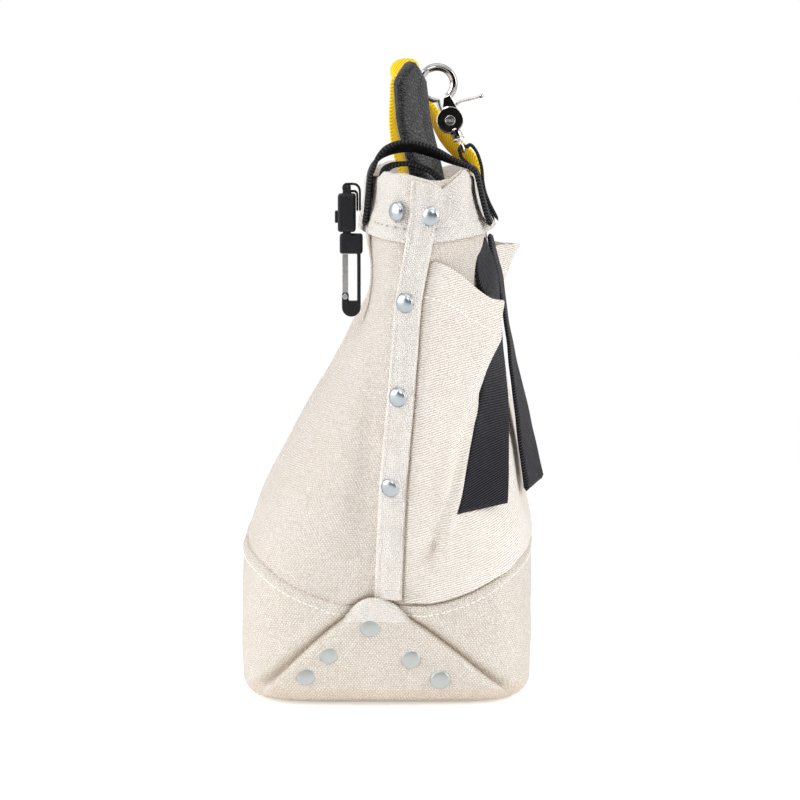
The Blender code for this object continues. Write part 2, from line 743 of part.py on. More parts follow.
def cuff_edge(turn):
    """Height of the cuff's lower edge."""
    low = BAG_HEIGHT - CUFF_DEPTH
    return low + CUFF_EDGE_RISE * end_share(low, turn)


def cuff_flare(turn):
    """How far the cuff's lower edge stands off."""
    low = BAG_HEIGHT - CUFF_DEPTH
    behind = skin(low, turn, 0).y > lean(low)
    flare = CUFF_FLARE_BACK if behind else CUFF_FLARE_FRONT
    return flare * end_share(low, turn) ** 2


def cuff_place(turn, share, offset):
    """A point of the cuff, a share of the way up it."""
    rise = float(np.interp(share, CUFF_ROW_SHARES, CUFF_FLARE_SHARES))
    z = mix(cuff_edge(turn), BAG_HEIGHT, share)
    return skin(z, turn, offset + cuff_flare(turn) * rise)


CUFF_OUT = LAYER_GAP + CANVAS


def rim_cuff():
    """The folded band round the mouth."""
    def wall(offset):
        return [[cuff_place(turn, share, offset) for turn in TURNS] for share in CUFF_ROW_SHARES]

    outside = wall(CUFF_OUT)
    inside = wall(LAYER_GAP)
    make_object("rim_cuff", rings_mesh(outside + list(reversed(inside)), closed=True), PALE_CANVAS)


STRIP_RAMP_TOP = BAG_HEIGHT - CUFF_DEPTH - STRIP_RAMP_DROP


def strip_offset(z):
    """Inner offset of a seam strip, which steps out to pass over the cuff."""
    share = smooth((z - STRIP_RAMP_TOP + STRIP_RAMP) / STRIP_RAMP)
    return mix(LAYER_GAP, CUFF_OUT + LAYER_GAP, share)


def strip_turn(z, share, offset):
    """Turn of a place across a strip, from -1 at its front edge to 1 at its back edge."""
    return turn_at(z, seam_y(z) + share * STRIP_WIDTH / 2, offset)


def seam_strip():
    """The folded canvas strip that covers an end seam, at +X."""
    rows = rows_between(STRIP_START, BAG_HEIGHT, (STRIP_RAMP_TOP - STRIP_RAMP, STRIP_RAMP_TOP))
    shares = [2 * k / STRIP_COLUMNS - 1 for k in range(STRIP_COLUMNS + 1)]
    inner, outer = [], []
    for z in rows:
        low = strip_offset(z)
        turns = [strip_turn(z, share, low) for share in shares]
        inner.append([skin(z, turn, low) for turn in turns])
        outer.append([skin(z, turn, low + CANVAS) for turn in turns])
    return sheet_mesh(inner, outer)


FLAP_IN = WRAP_OUT + FLAP_STAND


def flap_turn(z, share):
    """Turn of a place across the end flap at a height."""
    rise = (z - FLAP_START) / (FLAP_TOP - FLAP_START)
    width = FLAP_HALF_WIDTH * float(np.interp(rise, FLAP_HEIGHT_SHARES, FLAP_WIDTH_SHARES))
    return turn_at(z, share * width - FLAP_SKEW * rise, FLAP_IN)


def end_flap():
    """The triangular flap folded up an end of the base, at +X."""
    steps = [mix(FLAP_START, FLAP_TOP, share) for share in FLAP_HEIGHT_SHARES[1:-1]]
    rows = rows_between(FLAP_START, FLAP_TOP, steps)
    inner, outer = [], []
    for z in rows:
        turns = [flap_turn(z, 2 * k / FLAP_COLUMNS - 1) for k in range(FLAP_COLUMNS + 1)]
        inner.append([skin(z, turn, FLAP_IN) for turn in turns])
        outer.append([skin(z, turn, FLAP_IN + CANVAS) for turn in turns])
    return sheet_mesh(inner, outer)


def pocket_edge_turn(z):
    """Turn where the pocket meets the seam strip at the +X end."""
    return turn_at(z, seam_y(z) + STRIP_WIDTH / 2 + POCKET_EDGE_GAP, POCKET_STAND)


def gape_share(z):
    """0 where the pocket lies against the bag, 1 at the height of its right fold's top."""
    return max((z - POCKET_GAPE_START) / (RIGHT_FOLD_TOP - POCKET_GAPE_START), 0)


def pocket_fold_x(z):
    """Where the slack of the pocket is folded back, along X."""
    return half_width(z) * mix(*POCKET_FOLD_SHARES, min(gape_share(z), 1))


def pocket_fold_turn(z):
    """Turn of that fold."""
    turns = [turn for turn in TURNS if turn <= 1 / 4]
    xs = [skin(z, turn, POCKET_STAND).x for turn in turns]
    return float(np.interp(pocket_fold_x(z), xs[::-1], turns[::-1]))


def pocket_gape(z, x):
    """How far the pocket's cloth stands off the bag, along Y."""
    open_share = gape_share(z)
    right = smooth(x / pocket_fold_x(z) + 1)
    fold_gape = RIGHT_FOLD_GAPE if x > 0 else LEFT_FOLD_GAPE
    fold = fold_gape * open_share ** POCKET_GAPE_POWER
    middle = mix(LEFT_MIDDLE_GAPE, RIGHT_MIDDLE_GAPE, right) * min(open_share, 1)
    x, fold_x = abs(x), pocket_fold_x(z)
    if x < fold_x:
        return mix(fold, middle, smooth((fold_x - x) / POCKET_FOLD_RUN))
    edge_x = skin(z, pocket_edge_turn(z), POCKET_STAND).x
    return fold * max(0, (edge_x - x) / (edge_x - fold_x))


def pocket_columns(z):
    """Turns of the pocket's columns at the +X half, from the strip to the middle of the back."""
    edge, fold = pocket_edge_turn(z), pocket_fold_turn(z)
    turns = [mix(edge, fold, share) for share in POCKET_SIDE_SHARES]
    return turns + [mix(fold, 1 / 4, share) for share in POCKET_BACK_SHARES]


def pocket_top(column, fold_top):
    """Height of the pocket's mouth at a column."""
    side = len(POCKET_SIDE_SHARES)
    if column < side:
        return mix(POCKET_TOP_SEAM, fold_top, POCKET_SIDE_SHARES[column])
    return mix(fold_top, POCKET_TOP_MIDDLE, POCKET_BACK_SHARES[column - side])


def pocket_half(offset, side):
    """Columns of points of the pocket's right half (side 1) or left half, from strip to middle."""
    low_level = min(level for level in LEVELS if level > WRAP_FACE_HEIGHT + CANVAS)
    fixed = [level for level in LEVELS if low_level <= level < RIGHT_FOLD_TOP - CANVAS]
    fold_top = RIGHT_FOLD_TOP if side > 0 else LEFT_FOLD_TOP
    found = []
    for column in range(len(POCKET_SIDE_SHARES) + len(POCKET_BACK_SHARES)):
        foot = WRAP_FACE_HEIGHT
        for _ in range(FOOT_PASSES):
            foot = wrap_top(pocket_columns(foot)[column]) + POCKET_FOOT_GAP
        top = pocket_top(column, fold_top)
        heights = [mix(foot, low_level, share) for share in POCKET_LOW_SHARES] + fixed
        heights += [mix(fixed[-1], top, 1 / 2), top]
        line = []
        for z in heights:
            place = skin(z, pocket_columns(z)[column], offset)
            place.x *= side
            place.y += pocket_gape(z, place.x)
            line.append(place)
        found.append(line)
    return found


def back_pocket():
    """The full-width pocket across the back, its mouth gaping at the folds near both ends."""
    grids = []
    for offset in (POCKET_STAND, POCKET_STAND + CANVAS):
        right, left = pocket_half(offset, 1), pocket_half(offset, -1)
        columns = right + list(reversed(left[:-1]))
        grids.append([list(row) for row in zip(*columns)])
    make_object("back_pocket", sheet_mesh(*grids), CREAM_CANVAS)


def rivet_mesh(seat, facing):
    """A domed rivet cap on a seat."""
    profile = [(RIVET_RADIUS * r, RIVET_HEIGHT * h)
               for r, h in zip(RIVET_RADIUS_SHARES, RIVET_HEIGHT_SHARES)]
    profile.append((0, RIVET_HEIGHT))
    return turned_mesh(seat + facing * LAYER_GAP, facing, profile, RIVET_SIDES)


def rivet_seats(on_flap):
    """Seats and facings of the rivets of one end, on the seam strip or on the end flap."""
    found = []
    if on_flap:
        for y, z in FLAP_RIVET_PLACES:
            out = FLAP_IN + CANVAS
            turn = turn_at(z, y, out)
            found.append((skin(z, turn, out), skin_normal(z, turn, out)))
        return found
    places = []
    for y, drop, on_strip in CUFF_RIVET_PLACES:
        z = BAG_HEIGHT - drop
        places.append((y, z, strip_offset(z) + CANVAS if on_strip else CUFF_OUT))
    for share in SEAM_RIVET_HEIGHT_SHARES:
        z = share * BAG_HEIGHT
        places.append((seam_y(z) + SEAM_RIVET_SHIFT, z, strip_offset(z) + CANVAS))
    for y, z, out in places:
        turn = turn_at(z, y, out)
        found.append((skin(z, turn, out), skin_normal(z, turn, out)))
    return found


CREASE = math.radians(40)


def both_ends(name, build, finish, smooth_angle=None):
    """A piece at the +X end and its mirror image at the -X end."""
    make_object("right_" + name, build(), finish, smooth_angle=smooth_angle)
    make_object("left_" + name, mirrored(build()), finish, smooth_angle=smooth_angle)


def rivets():
    """Ten domed rivets at each end: five down the seam and five on the flap."""
    for place, on_flap in (("seam", False), ("flap", True)):
        for number, (seat, facing) in enumerate(rivet_seats(on_flap), start=1):
            build = functools.partial(rivet_mesh, seat, facing)
            both_ends(f"{place}_rivet_{number}", build, RIVET_STEEL, CREASE)


def back_surface(x, z):
    """Y of whatever lies outermost on the bag's back: wall, pocket or cuff."""
    found = face_y(z, x, 0, 1)
    if z < POCKET_TOP_SEAM:
        top = np.interp(abs(x), (0, pocket_fold_x(z), half_width(z)),
                        (POCKET_TOP_MIDDLE, RIGHT_FOLD_TOP, POCKET_TOP_SEAM))
        if z < top + HANGER_POCKET_CLEARANCE:
            level = min(z, float(top))
            found = max(found, face_y(z, x, POCKET_STAND + CANVAS, 1) + pocket_gape(level, x))
    if z > cuff_edge(1 / 4) - HANGER_THICKNESS:
        found = max(found, face_y(z, x, cuff_out(z, 1), 1))
    return found


def hanger_frame(x, z, twist, stand):
    """Where a hanging strap lies at a height: the middle of its inner face and the direction across
    it. A twist lifts its far edge off the bag."""
    reach = HANGER_WIDTH / 2
    for _ in range(REACH_PASSES):
        left, right = back_surface(x - reach, z), back_surface(x + reach, z)
        across = Vector((2 * reach, right - left, 0)).normalized()
        reach = across.x * HANGER_WIDTH / 2
    bulge = 0
    for k in range(SURFACE_SAMPLES):
        share = 2 * k / (SURFACE_SAMPLES - 1) - 1
        chord = (left + right) / 2 + share * reach * across.y / across.x
        bulge = max(bulge, back_surface(x + share * reach, z) - chord)
    middle = Vector((x, (left + right) / 2 + (bulge + stand) / across.x, z))
    near_edge = middle + across * (HANGER_WIDTH / 2)
    across = Matrix.Rotation(-twist, 3, "Z") @ across
    return near_edge - across * (HANGER_WIDTH / 2), across


def hung_straight(places):
    """The same places, with Y moved out wherever a strap would hang clear of a hollow."""
    found = []
    for k, place in enumerate(places):
        y = place.y
        for above in places[:k]:
            for below in places[k + 1:]:
                share = (above.z - place.z) / (above.z - below.z)
                y = max(y, mix(above.y, below.y, share))
        found.append(Vector((place.x, y, place.z)))
    return found


def hanging_strap(number):
    """A strap sewn in under the cuff's edge, hanging down the back, turned up double at its foot."""
    top = HANGER_TOP_SHARES[number - 1] * BAG_HEIGHT
    foot = HANGER_FOOT_SHARES[number - 1] * BAG_HEIGHT
    place_shares = (HANGER_1_PLACE_SHARES, HANGER_2_PLACE_SHARES)[number - 1]
    places, sides = [], []
    for share, place in zip(HANGER_HEIGHT_SHARES, place_shares):
        twist = HANGER_TWISTS[number - 1] * (1 - min(share / HANGER_TWIST_START_SHARE, 1))
        sewn = max(0, (share - HANGER_SEWN_SHARE) / (1 - HANGER_SEWN_SHARE))
        stand = mix(HANGER_STAND, LAYER_GAP, sewn)
        middle, across = hanger_frame(place * MOUTH_WIDTH / 2, mix(foot, top, share), twist, stand)
        places.append(middle)
        sides.append(across)
    route = []
    for place, side, layers in zip(hung_straight(places), sides, HANGER_LAYER_SHARES):
        route.append(place + Vector((-side.y, side.x, 0)) * (layers * HANGER_THICKNESS / 2))
    mesh_data = strap_mesh(route, sides, HANGER_WIDTH, HANGER_THICKNESS, layer_shares=HANGER_LAYER_SHARES)
    make_object(f"hanging_strap_{number}", mesh_data, BLACK_WEBBING, origin=route[0])


def wall_side(x, z, offset, side):
    """Direction along X on the bag's face, for a strap that lies flat on it."""
    reach = CLOSURE_WIDTH / 2
    rise = face_y(z, x + reach, offset, side) - face_y(z, x - reach, offset, side)
    return Vector((2 * reach, rise, 0)).normalized()


def on_face(x, z, offset, side, stand):
    """A strap's middle on the bag's face, standing off by a distance; inside faces stand inward."""
    reach = CLOSURE_WIDTH / 2
    edges = [face_y(z, x + k * reach, offset, side) for k in (-1, 0, 1)]
    chord = (edges[0] + edges[2]) / 2
    bulge = side * (edges[1] - chord)
    outward = stand >= 0
    level = chord + side * (max(bulge, 0) if outward else min(bulge, 0))
    return Vector((x, level + side * stand, z))


def cuff_out(z, side):
    """Outer offset of the cuff's faces at a height, with their flare."""
    edge = BAG_HEIGHT - CUFF_DEPTH + CUFF_EDGE_RISE
    share = (z - edge) / (BAG_HEIGHT - edge)
    flare = CUFF_FLARE_BACK if side > 0 else CUFF_FLARE_FRONT
    return CUFF_OUT + flare * float(np.interp(share, CUFF_ROW_SHARES, CUFF_FLARE_SHARES))


def on_cuff(x, z, side, stand):
    """A place outside the cuff, and the direction along it."""
    out = cuff_out(z, side)
    return on_face(x, z, out, side, stand), wall_side(x, z, out, side)


def closure_strap():
    """The strap over the mouth, from the cuff's front to its back."""
    x = CLOSURE_PLACE_SHARE * MOUTH_WIDTH / 2
    stand = LAYER_GAP + CLOSURE_THICKNESS / 2
    front = [on_cuff(x, BAG_HEIGHT - drop, -1, stand) for drop in CLOSURE_END_DROPS]
    back = [on_cuff(x, BAG_HEIGHT - drop, 1, stand) for drop in reversed(CLOSURE_END_DROPS)]
    start = on_cuff(x, BAG_HEIGHT, -1, stand)[0].y
    end = on_cuff(x, BAG_HEIGHT, 1, stand)[0].y
    roll = Vector((math.cos(CLOSURE_ROLL), 0, math.sin(CLOSURE_ROLL)))
    route, sides = [place for place, side in front], [side for place, side in front]
    for depth, height in CLOSURE_ARCH_SHARES:
        route.append(Vector((x, mix(start, end, depth), BAG_HEIGHT + height * CLOSURE_RISE)))
        across = front[-1][1].lerp(back[0][1], depth)
        sides.append(across.lerp(roll, smooth(height)).normalized())
    route += [place for place, side in back]
    sides += [side for place, side in back]
    make_object("closure_strap", strap_mesh(route, sides, CLOSURE_WIDTH, CLOSURE_THICKNESS), BLACK_WEBBING)


def inner_strap():
    """The strap inside the mouth, from the front wall's inside to the back wall's inside."""
    x = CLOSURE_PLACE_SHARE * MOUTH_WIDTH / 2
    stand = -(LAYER_GAP + INNER_STRAP_THICKNESS / 2)

    def on_wall(drop, side):
        z = BAG_HEIGHT - drop
        return on_face(x, z, -CANVAS, side, stand), wall_side(x, z, -CANVAS, side)

    front = [on_wall(drop, -1) for drop in INNER_STRAP_DROPS]
    back = [on_wall(drop, 1) for drop in INNER_STRAP_BACK_DROPS]
    start, end = front[-1][0].y, back[0][0].y
    route, sides = [place for place, side in front], [side for place, side in front]
    for depth, height in INNER_ARCH_SHARES:
        route.append(Vector((x, mix(start, end, depth), BAG_HEIGHT + height * INNER_STRAP_RISE)))
        sides.append(front[-1][1].lerp(back[0][1], depth).normalized())
    route += [place for place, side in back]
    sides += [side for place, side in back]
    mesh_data = strap_mesh(route, sides, INNER_STRAP_WIDTH, INNER_STRAP_THICKNESS)
    make_object("inner_strap", mesh_data, BLACK_WEBBING)


def above_mouth(x, depth_share, height_share):
    """A place over or in the mouth, by shares of its depth and of the bag's height."""
    return Vector((x, MOUTH_LEAN + depth_share * MOUTH_DEPTH, height_share * BAG_HEIGHT))


def leather_strap():
    """The pointed leather strap that stands up out of the mouth, held on the inside of the back."""
    x = LEATHER_PLACE_SHARE * MOUTH_WIDTH / 2
    route = [above_mouth(x, *shares) for shares in LEATHER_ROUTE_SHARES]
    sides = []
    for place in route:
        share = smooth((place.z / BAG_HEIGHT - LEATHER_TWIST_SHARE) / (1 - LEATHER_TWIST_SHARE))
        twist = mix(LEATHER_TWIST_FOOT, LEATHER_TWIST_TOP, share)
        sides.append(Vector((math.cos(twist), -math.sin(twist), 0)))
    stand = -(LAYER_GAP + LEATHER_THICKNESS / 2)
    for drop in LEATHER_END_DROPS:
        z = BAG_HEIGHT - drop
        route.append(on_face(x, z, -CANVAS, 1, stand))
        sides.append(wall_side(x, z, -CANVAS, 1))
    widths = list(LEATHER_TIP_WIDTH_SHARES) + [1] * (len(route) - len(LEATHER_TIP_WIDTH_SHARES))
    mesh_data = strap_mesh(route, sides, LEATHER_WIDTH, LEATHER_THICKNESS, width_shares=widths)
    make_object("leather_strap", mesh_data, GREY_LEATHER)


def yellow_webbing():
    """The webbing folded over on itself above the mouth: inside the back wall at one end and on the
    cuff's outside at the other."""
    x = YELLOW_PLACE_SHARE * MOUTH_WIDTH / 2
    inside = -(LAYER_GAP + YELLOW_THICKNESS / 2)
    route, sides = [], []
    for drop in YELLOW_INNER_DROPS:
        z = BAG_HEIGHT - drop
        route.append(on_face(x, z, -CANVAS, 1, inside))
        sides.append(wall_side(x, z, -CANVAS, 1))
    for depth, height in YELLOW_ROUTE_SHARES:
        route.append(above_mouth(x, depth, height))
        span = YELLOW_ROLL_END_SHARE - YELLOW_ROLL_START_SHARE
        roll = YELLOW_ROLL * smooth((height - YELLOW_ROLL_START_SHARE) / span)
        sides.append(Vector((math.cos(roll), 0, -math.sin(roll))))
    for drop in YELLOW_OUTER_DROPS:
        place, side = on_cuff(x, BAG_HEIGHT - drop, 1, LAYER_GAP + YELLOW_THICKNESS / 2)
        route.append(place)
        sides.append(side)
    make_object("yellow_webbing", strap_mesh(route, sides, YELLOW_WIDTH, YELLOW_THICKNESS), YELLOW_WEBBING)


SNAP_X = SNAP_PLACE_SHARE * MOUTH_WIDTH / 2
SNAP_CENTRE = above_mouth(SNAP_X, SNAP_DEPTH_SHARE, SNAP_HEIGHT_SHARE)
SNAP_RISE = Vector((0, -math.sin(SNAP_TILT), math.cos(SNAP_TILT)))
SNAP_REACH = Vector((0, math.cos(SNAP_TILT), math.sin(SNAP_TILT)))
SIDEWAYS = Vector((1, 0, 0))


def snap_place(rise, reach, side=0):
    """A point in the snap's own frame."""
    return SNAP_CENTRE + SNAP_RISE * rise + SNAP_REACH * reach + SIDEWAYS * side


def snap_arc(start, end, steps, side=0):
    """Points round the hook's ring."""
    found = []
    for k in range(steps + 1):
        angle = mix(start, end, k / steps)
        found.append(snap_place(HOOK_RISE + HOOK_RADIUS * math.sin(angle),
                                HOOK_REACH + HOOK_RADIUS * math.cos(angle), side))
    return found


def snap_disc(radius, far, near, sides=ROUND_SIDES):
    """A disc about the gate's pivot, between two sideways places."""
    return turned_mesh(snap_place(0, 0, far), SIDEWAYS, [(radius, 0), (radius, near - far)], sides)


def snap_body():
    """The hook, its cheek plate and the boss that turns on the swivel's stem."""
    arc = snap_arc(HOOK_START, HOOK_END, HOOK_STEPS)
    tip_run = HOOK_STEPS / 3
    radii = [HOOK_WIRE * mix(1, HOOK_TIP_SHARE, max(0, (k - HOOK_STEPS + tip_run) / tip_run))
             for k in range(HOOK_STEPS + 1)]
    cheek = snap_disc(CHEEK_RADIUS, CHEEK_FAR, CHEEK_NEAR)
    body = make_object("snap_body", cheek, BRIGHT_CHROME, origin=SNAP_CENTRE, smooth_angle=CREASE)
    neck = [snap_place(rise * CHEEK_RADIUS, reach * CHEEK_RADIUS) for reach, rise in NECK_SHARES]
    boss = [(BOSS_RADIUS, 0), (BOSS_RADIUS, BOSS_TOP - BOSS_FOOT)]
    lumps = [
        helper("hook_lump", wire_mesh(arc, radii, WIRE_SIDES)),
        helper("neck_lump", prism_mesh(neck, SIDEWAYS * NECK_FAR, SIDEWAYS * NECK_NEAR)),
        helper("boss_lump", turned_mesh(snap_place(BOSS_FOOT, 0), SNAP_RISE, boss, ROUND_SIDES)),
    ]
    combine(body, lumps, "UNION")
    bore = STEM_RADIUS + STEM_CLEARANCE
    foot = BOSS_FOOT - CUT_OVERRUN
    stem = [(bore, 0), (bore, BORE_TOP - foot)]
    cuts = [
        helper("pivot_cut", snap_disc(HUB_BORE, CHEEK_FAR - CUT_OVERRUN, CHEEK_NEAR + CUT_OVERRUN, 12)),
        helper("stem_cut", turned_mesh(snap_place(foot, 0), SNAP_RISE, stem, 12)),
    ]
    combine(body, cuts, "DIFFERENCE")


def snap_gate():
    """The sprung gate: a hub on the pivot, the arm that closes the ring and the thumb lever."""
    hub = snap_disc(HUB_RADIUS, HUB_FAR, HUB_NEAR)
    gate = make_object("snap_gate", hub, BRIGHT_CHROME, origin=SNAP_CENTRE, smooth_angle=CREASE)
    arm = snap_arc(GATE_ARC_START, GATE_ARC_END, GATE_STEPS, GATE_ARM_SIDE)
    arm += [snap_place(rise * HUB_RADIUS, reach * HUB_RADIUS, GATE_ARM_SIDE)
            for reach, rise in GATE_NECK_SHARES]
    radii = [GATE_WIRE * share for share in GATE_RADIUS_SHARES]
    lever = [snap_place(rise * HUB_RADIUS, reach * HUB_RADIUS, GATE_ARM_SIDE)
             for reach, rise in LEVER_SHARES]
    lever = curve_through(lever, 2)
    ball = [(0, -LEVER_BALL)]
    ball += [(LEVER_BALL * math.cos(a), LEVER_BALL * math.sin(a)) for a in LEVER_BALL_ANGLES]
    ball.append((0, LEVER_BALL))
    lumps = [
        helper("gate_arm_lump", wire_mesh(arm, radii, WIRE_SIDES)),
        helper("lever_lump", wire_mesh(lever, [LEVER_WIRE] * len(lever), 6)),
        helper("lever_ball_lump", turned_mesh(lever[-1], SNAP_REACH, ball, WIRE_SIDES)),
    ]
    combine(gate, lumps, "UNION")
    cut = snap_disc(HUB_BORE, HUB_FAR - CUT_OVERRUN, HUB_NEAR + CUT_OVERRUN, 12)
    combine(gate, [helper("gate_pivot_cut", cut)], "DIFFERENCE")


def snap_rivet():
    """The slotted pivot that holds the gate to the cheek plate."""
    near, far = PIVOT_NEAR, PIVOT_FAR
    profile = [
        (PIVOT_HEAD, 0), (PIVOT_HEAD, PIVOT_HEAD_HEIGHT), (PIVOT_SHANK, PIVOT_HEAD_HEIGHT),
        (PIVOT_SHANK, near - far + PIVOT_HEAD_HEIGHT), (PIVOT_HEAD, near - far + PIVOT_HEAD_HEIGHT),
        (PIVOT_HEAD, near - far + 2 * PIVOT_HEAD_HEIGHT),
    ]
    foot = snap_place(0, 0, far - PIVOT_HEAD_HEIGHT)
    pivot = make_object("snap_rivet", turned_mesh(foot, SIDEWAYS, profile, 12), BRIGHT_STEEL,
                        origin=SNAP_CENTRE, smooth_angle=CREASE)
    top = near + PIVOT_HEAD_HEIGHT
    half = Vector((0, PIVOT_HEAD + CUT_OVERRUN, SLOT_WIDTH / 2))
    middle = snap_place(0, 0)
    low = middle + SIDEWAYS * (top - SLOT_DEPTH) - half
    high = middle + SIDEWAYS * (top + CUT_OVERRUN) + half
    combine(pivot, [helper("slot_cut", box_mesh(low, high))], "DIFFERENCE")


def rounded_frame(half_across, low, high, corner, steps):
    """Points round a rectangle with round corners, in the plane of the snap's rise and its side."""
    found = []
    corners = ((half_across - corner, low + corner, -90), (half_across - corner, high - corner, 0),
               (corner - half_across, high - corner, 90), (corner - half_across, low + corner, 180))
    for side, rise, start in corners:
        for k in range(steps + 1):
            angle = math.radians(start + 90 * k / steps)
            found.append(snap_place(rise + corner * math.sin(angle), 0, side + corner * math.cos(angle)))
    return found


def swivel_eye():
    """The eye that the leash passes through, with the stem that the snap turns on."""
    path = rounded_frame(EYE_HALF_WIDTH, EYE_FOOT, EYE_TOP, EYE_CORNER, 3)
    eye = make_object("swivel_eye", wire_mesh(path, [EYE_WIRE] * len(path), WIRE_SIDES, closed=True),
                      BRIGHT_CHROME, smooth_angle=CREASE)
    foot = WASHER_TOP - WASHER_THICKNESS
    profile = [(WASHER_RADIUS, 0), (WASHER_RADIUS, WASHER_THICKNESS), (STEM_RADIUS, WASHER_THICKNESS),
               (STEM_RADIUS, STEM_TOP - foot)]
    combine(eye, [helper("stem_lump", turned_mesh(snap_place(foot, 0), SNAP_RISE, profile, 12))], "UNION")


def leash_strap():
    """The narrow strap through the eye, both its tails down the cuff's outside."""
    bar = snap_place(EYE_FOOT, 0)
    radius = EYE_WIRE + LAYER_GAP + LEASH_THICKNESS / 2
    first, last = LEASH_BIGHT_ANGLES
    bight = []
    for k in range(LEASH_BIGHT_STEPS + 1):
        angle = mix(first, last, k / LEASH_BIGHT_STEPS)
        bight.append(bar + Vector((0, math.cos(angle), math.sin(angle))) * radius)
    near = LAYER_GAP + LEASH_THICKNESS / 2
    far = near + LAYER_GAP + LEASH_THICKNESS
    tails = []
    for stand in (near, far):
        tails.append([on_cuff(bar.x, BAG_HEIGHT - drop, 1, stand)[0] for drop in LEASH_DROPS])
    route = list(reversed(tails[0]))
    for (depth, height) in reversed(LEASH_INNER_SHARES):
        route.append(leash_between(bight[0], tails[0][0], depth, height))
    route += bight
    for (depth, height) in LEASH_OUTER_SHARES:
        route.append(leash_between(bight[-1], tails[1][0], depth, height))
    route += tails[1]
    sides = [SIDEWAYS] * len(route)
    make_object("leash_strap", strap_mesh(route, sides, LEASH_WIDTH, LEASH_THICKNESS), BLACK_WEBBING)


def leash_between(start, end, depth, height):
    """A point of the free leash, by shares of its way out and of its drop."""
    return Vector((start.x, mix(start.y, end.y, depth), mix(end.z, start.z, height)))


CLIP_X = CLOSURE_PLACE_SHARE * MOUTH_WIDTH / 2
STRAP_PLACE, STRAP_SIDE = on_cuff(CLIP_X, BAG_HEIGHT - CLIP_WEBBING_DROP, -1, LAYER_GAP + CLOSURE_THICKNESS)
STRAP_FACE = STRAP_PLACE.y - abs(STRAP_SIDE.y / STRAP_SIDE.x) * CLIP_WEBBING_WIDTH / 2
SOCKET_BACK = STRAP_FACE - SOCKET_STANDOFF
SOCKET_FRONT = SOCKET_BACK - SOCKET_DEPTH
SOCKET_MIDDLE = (SOCKET_BACK + SOCKET_FRONT) / 2
SOCKET_FOOT = BAG_HEIGHT - SOCKET_FOOT_DROP
SOCKET_TOP = SOCKET_FOOT + SOCKET_HEIGHT


def clip_box(half_x, front, back, low, high, bevel=0):
    """A box centred on the clip along X."""
    return box_mesh(Vector((CLIP_X - half_x, front, low)), Vector((CLIP_X + half_x, back, high)), bevel)


def bar_mesh(y, z, radius, half_length, sides=12):
    """A round bar along X, centred on the clip."""
    start = Vector((CLIP_X - half_length, y, z))
    return turned_mesh(start, SIDEWAYS, [(radius, 0), (radius, 2 * half_length)], sides)


def buckle_socket():
    """The socket of the release buckle, with ears and a bar on top for its webbing."""
    half = SOCKET_WIDTH / 2
    socket = make_object("buckle_socket",
                         clip_box(half, SOCKET_FRONT, SOCKET_BACK, SOCKET_FOOT, SOCKET_TOP, SOCKET_BEVEL),
                         BLACK_PLASTIC)
    bar_z = SOCKET_TOP + BAR_RISE
    bar_y = SOCKET_MIDDLE
    lumps = []
    for side in (-1, 1):
        outer = CLIP_X + side * (half - SOCKET_BEVEL)
        inner = outer - side * EAR_THICKNESS
        low = Vector((min(outer, inner), bar_y - 2 * BAR_RADIUS, SOCKET_TOP - SOCKET_BEVEL))
        high = Vector((max(outer, inner), bar_y + 2 * BAR_RADIUS, SOCKET_TOP + EAR_HEIGHT))
        lumps.append(helper("ear_lump", box_mesh(low, high)))
    ear_span = half - SOCKET_BEVEL - EAR_THICKNESS / 2
    lumps.append(helper("bar_lump", bar_mesh(bar_y, bar_z, BAR_RADIUS, ear_span, 8)))
    combine(socket, lumps, "UNION")
    cavity = clip_box(CAVITY_WIDTH / 2, SOCKET_MIDDLE - CAVITY_DEPTH / 2, SOCKET_MIDDLE + CAVITY_DEPTH / 2,
                      SOCKET_FOOT - CUT_OVERRUN, SOCKET_FOOT + CAVITY_HEIGHT)
    low = SOCKET_FOOT + BUTTON_RISE
    recess = clip_box(BUTTON_WIDTH / 2 + BUTTON_CLEARANCE, SOCKET_FRONT - CUT_OVERRUN,
                      SOCKET_FRONT + BUTTON_DEPTH - BUTTON_PROUD + BUTTON_TRAVEL + BUTTON_CLEARANCE,
                      low - BUTTON_CLEARANCE, low + BUTTON_HEIGHT + BUTTON_CLEARANCE)
    combine(socket, [helper("cavity_cut", cavity), helper("recess_cut", recess)], "DIFFERENCE")


def release_button():
    """The press pad in the socket's front."""
    low = SOCKET_FOOT + BUTTON_RISE
    front = SOCKET_FRONT - BUTTON_PROUD
    middle = Vector((CLIP_X, front, low + BUTTON_HEIGHT / 2))
    pad = clip_box(BUTTON_WIDTH / 2, front, front + BUTTON_DEPTH, low, low + BUTTON_HEIGHT, BUTTON_BEVEL)
    make_object("release_button", pad, BLACK_PLASTIC, origin=middle)


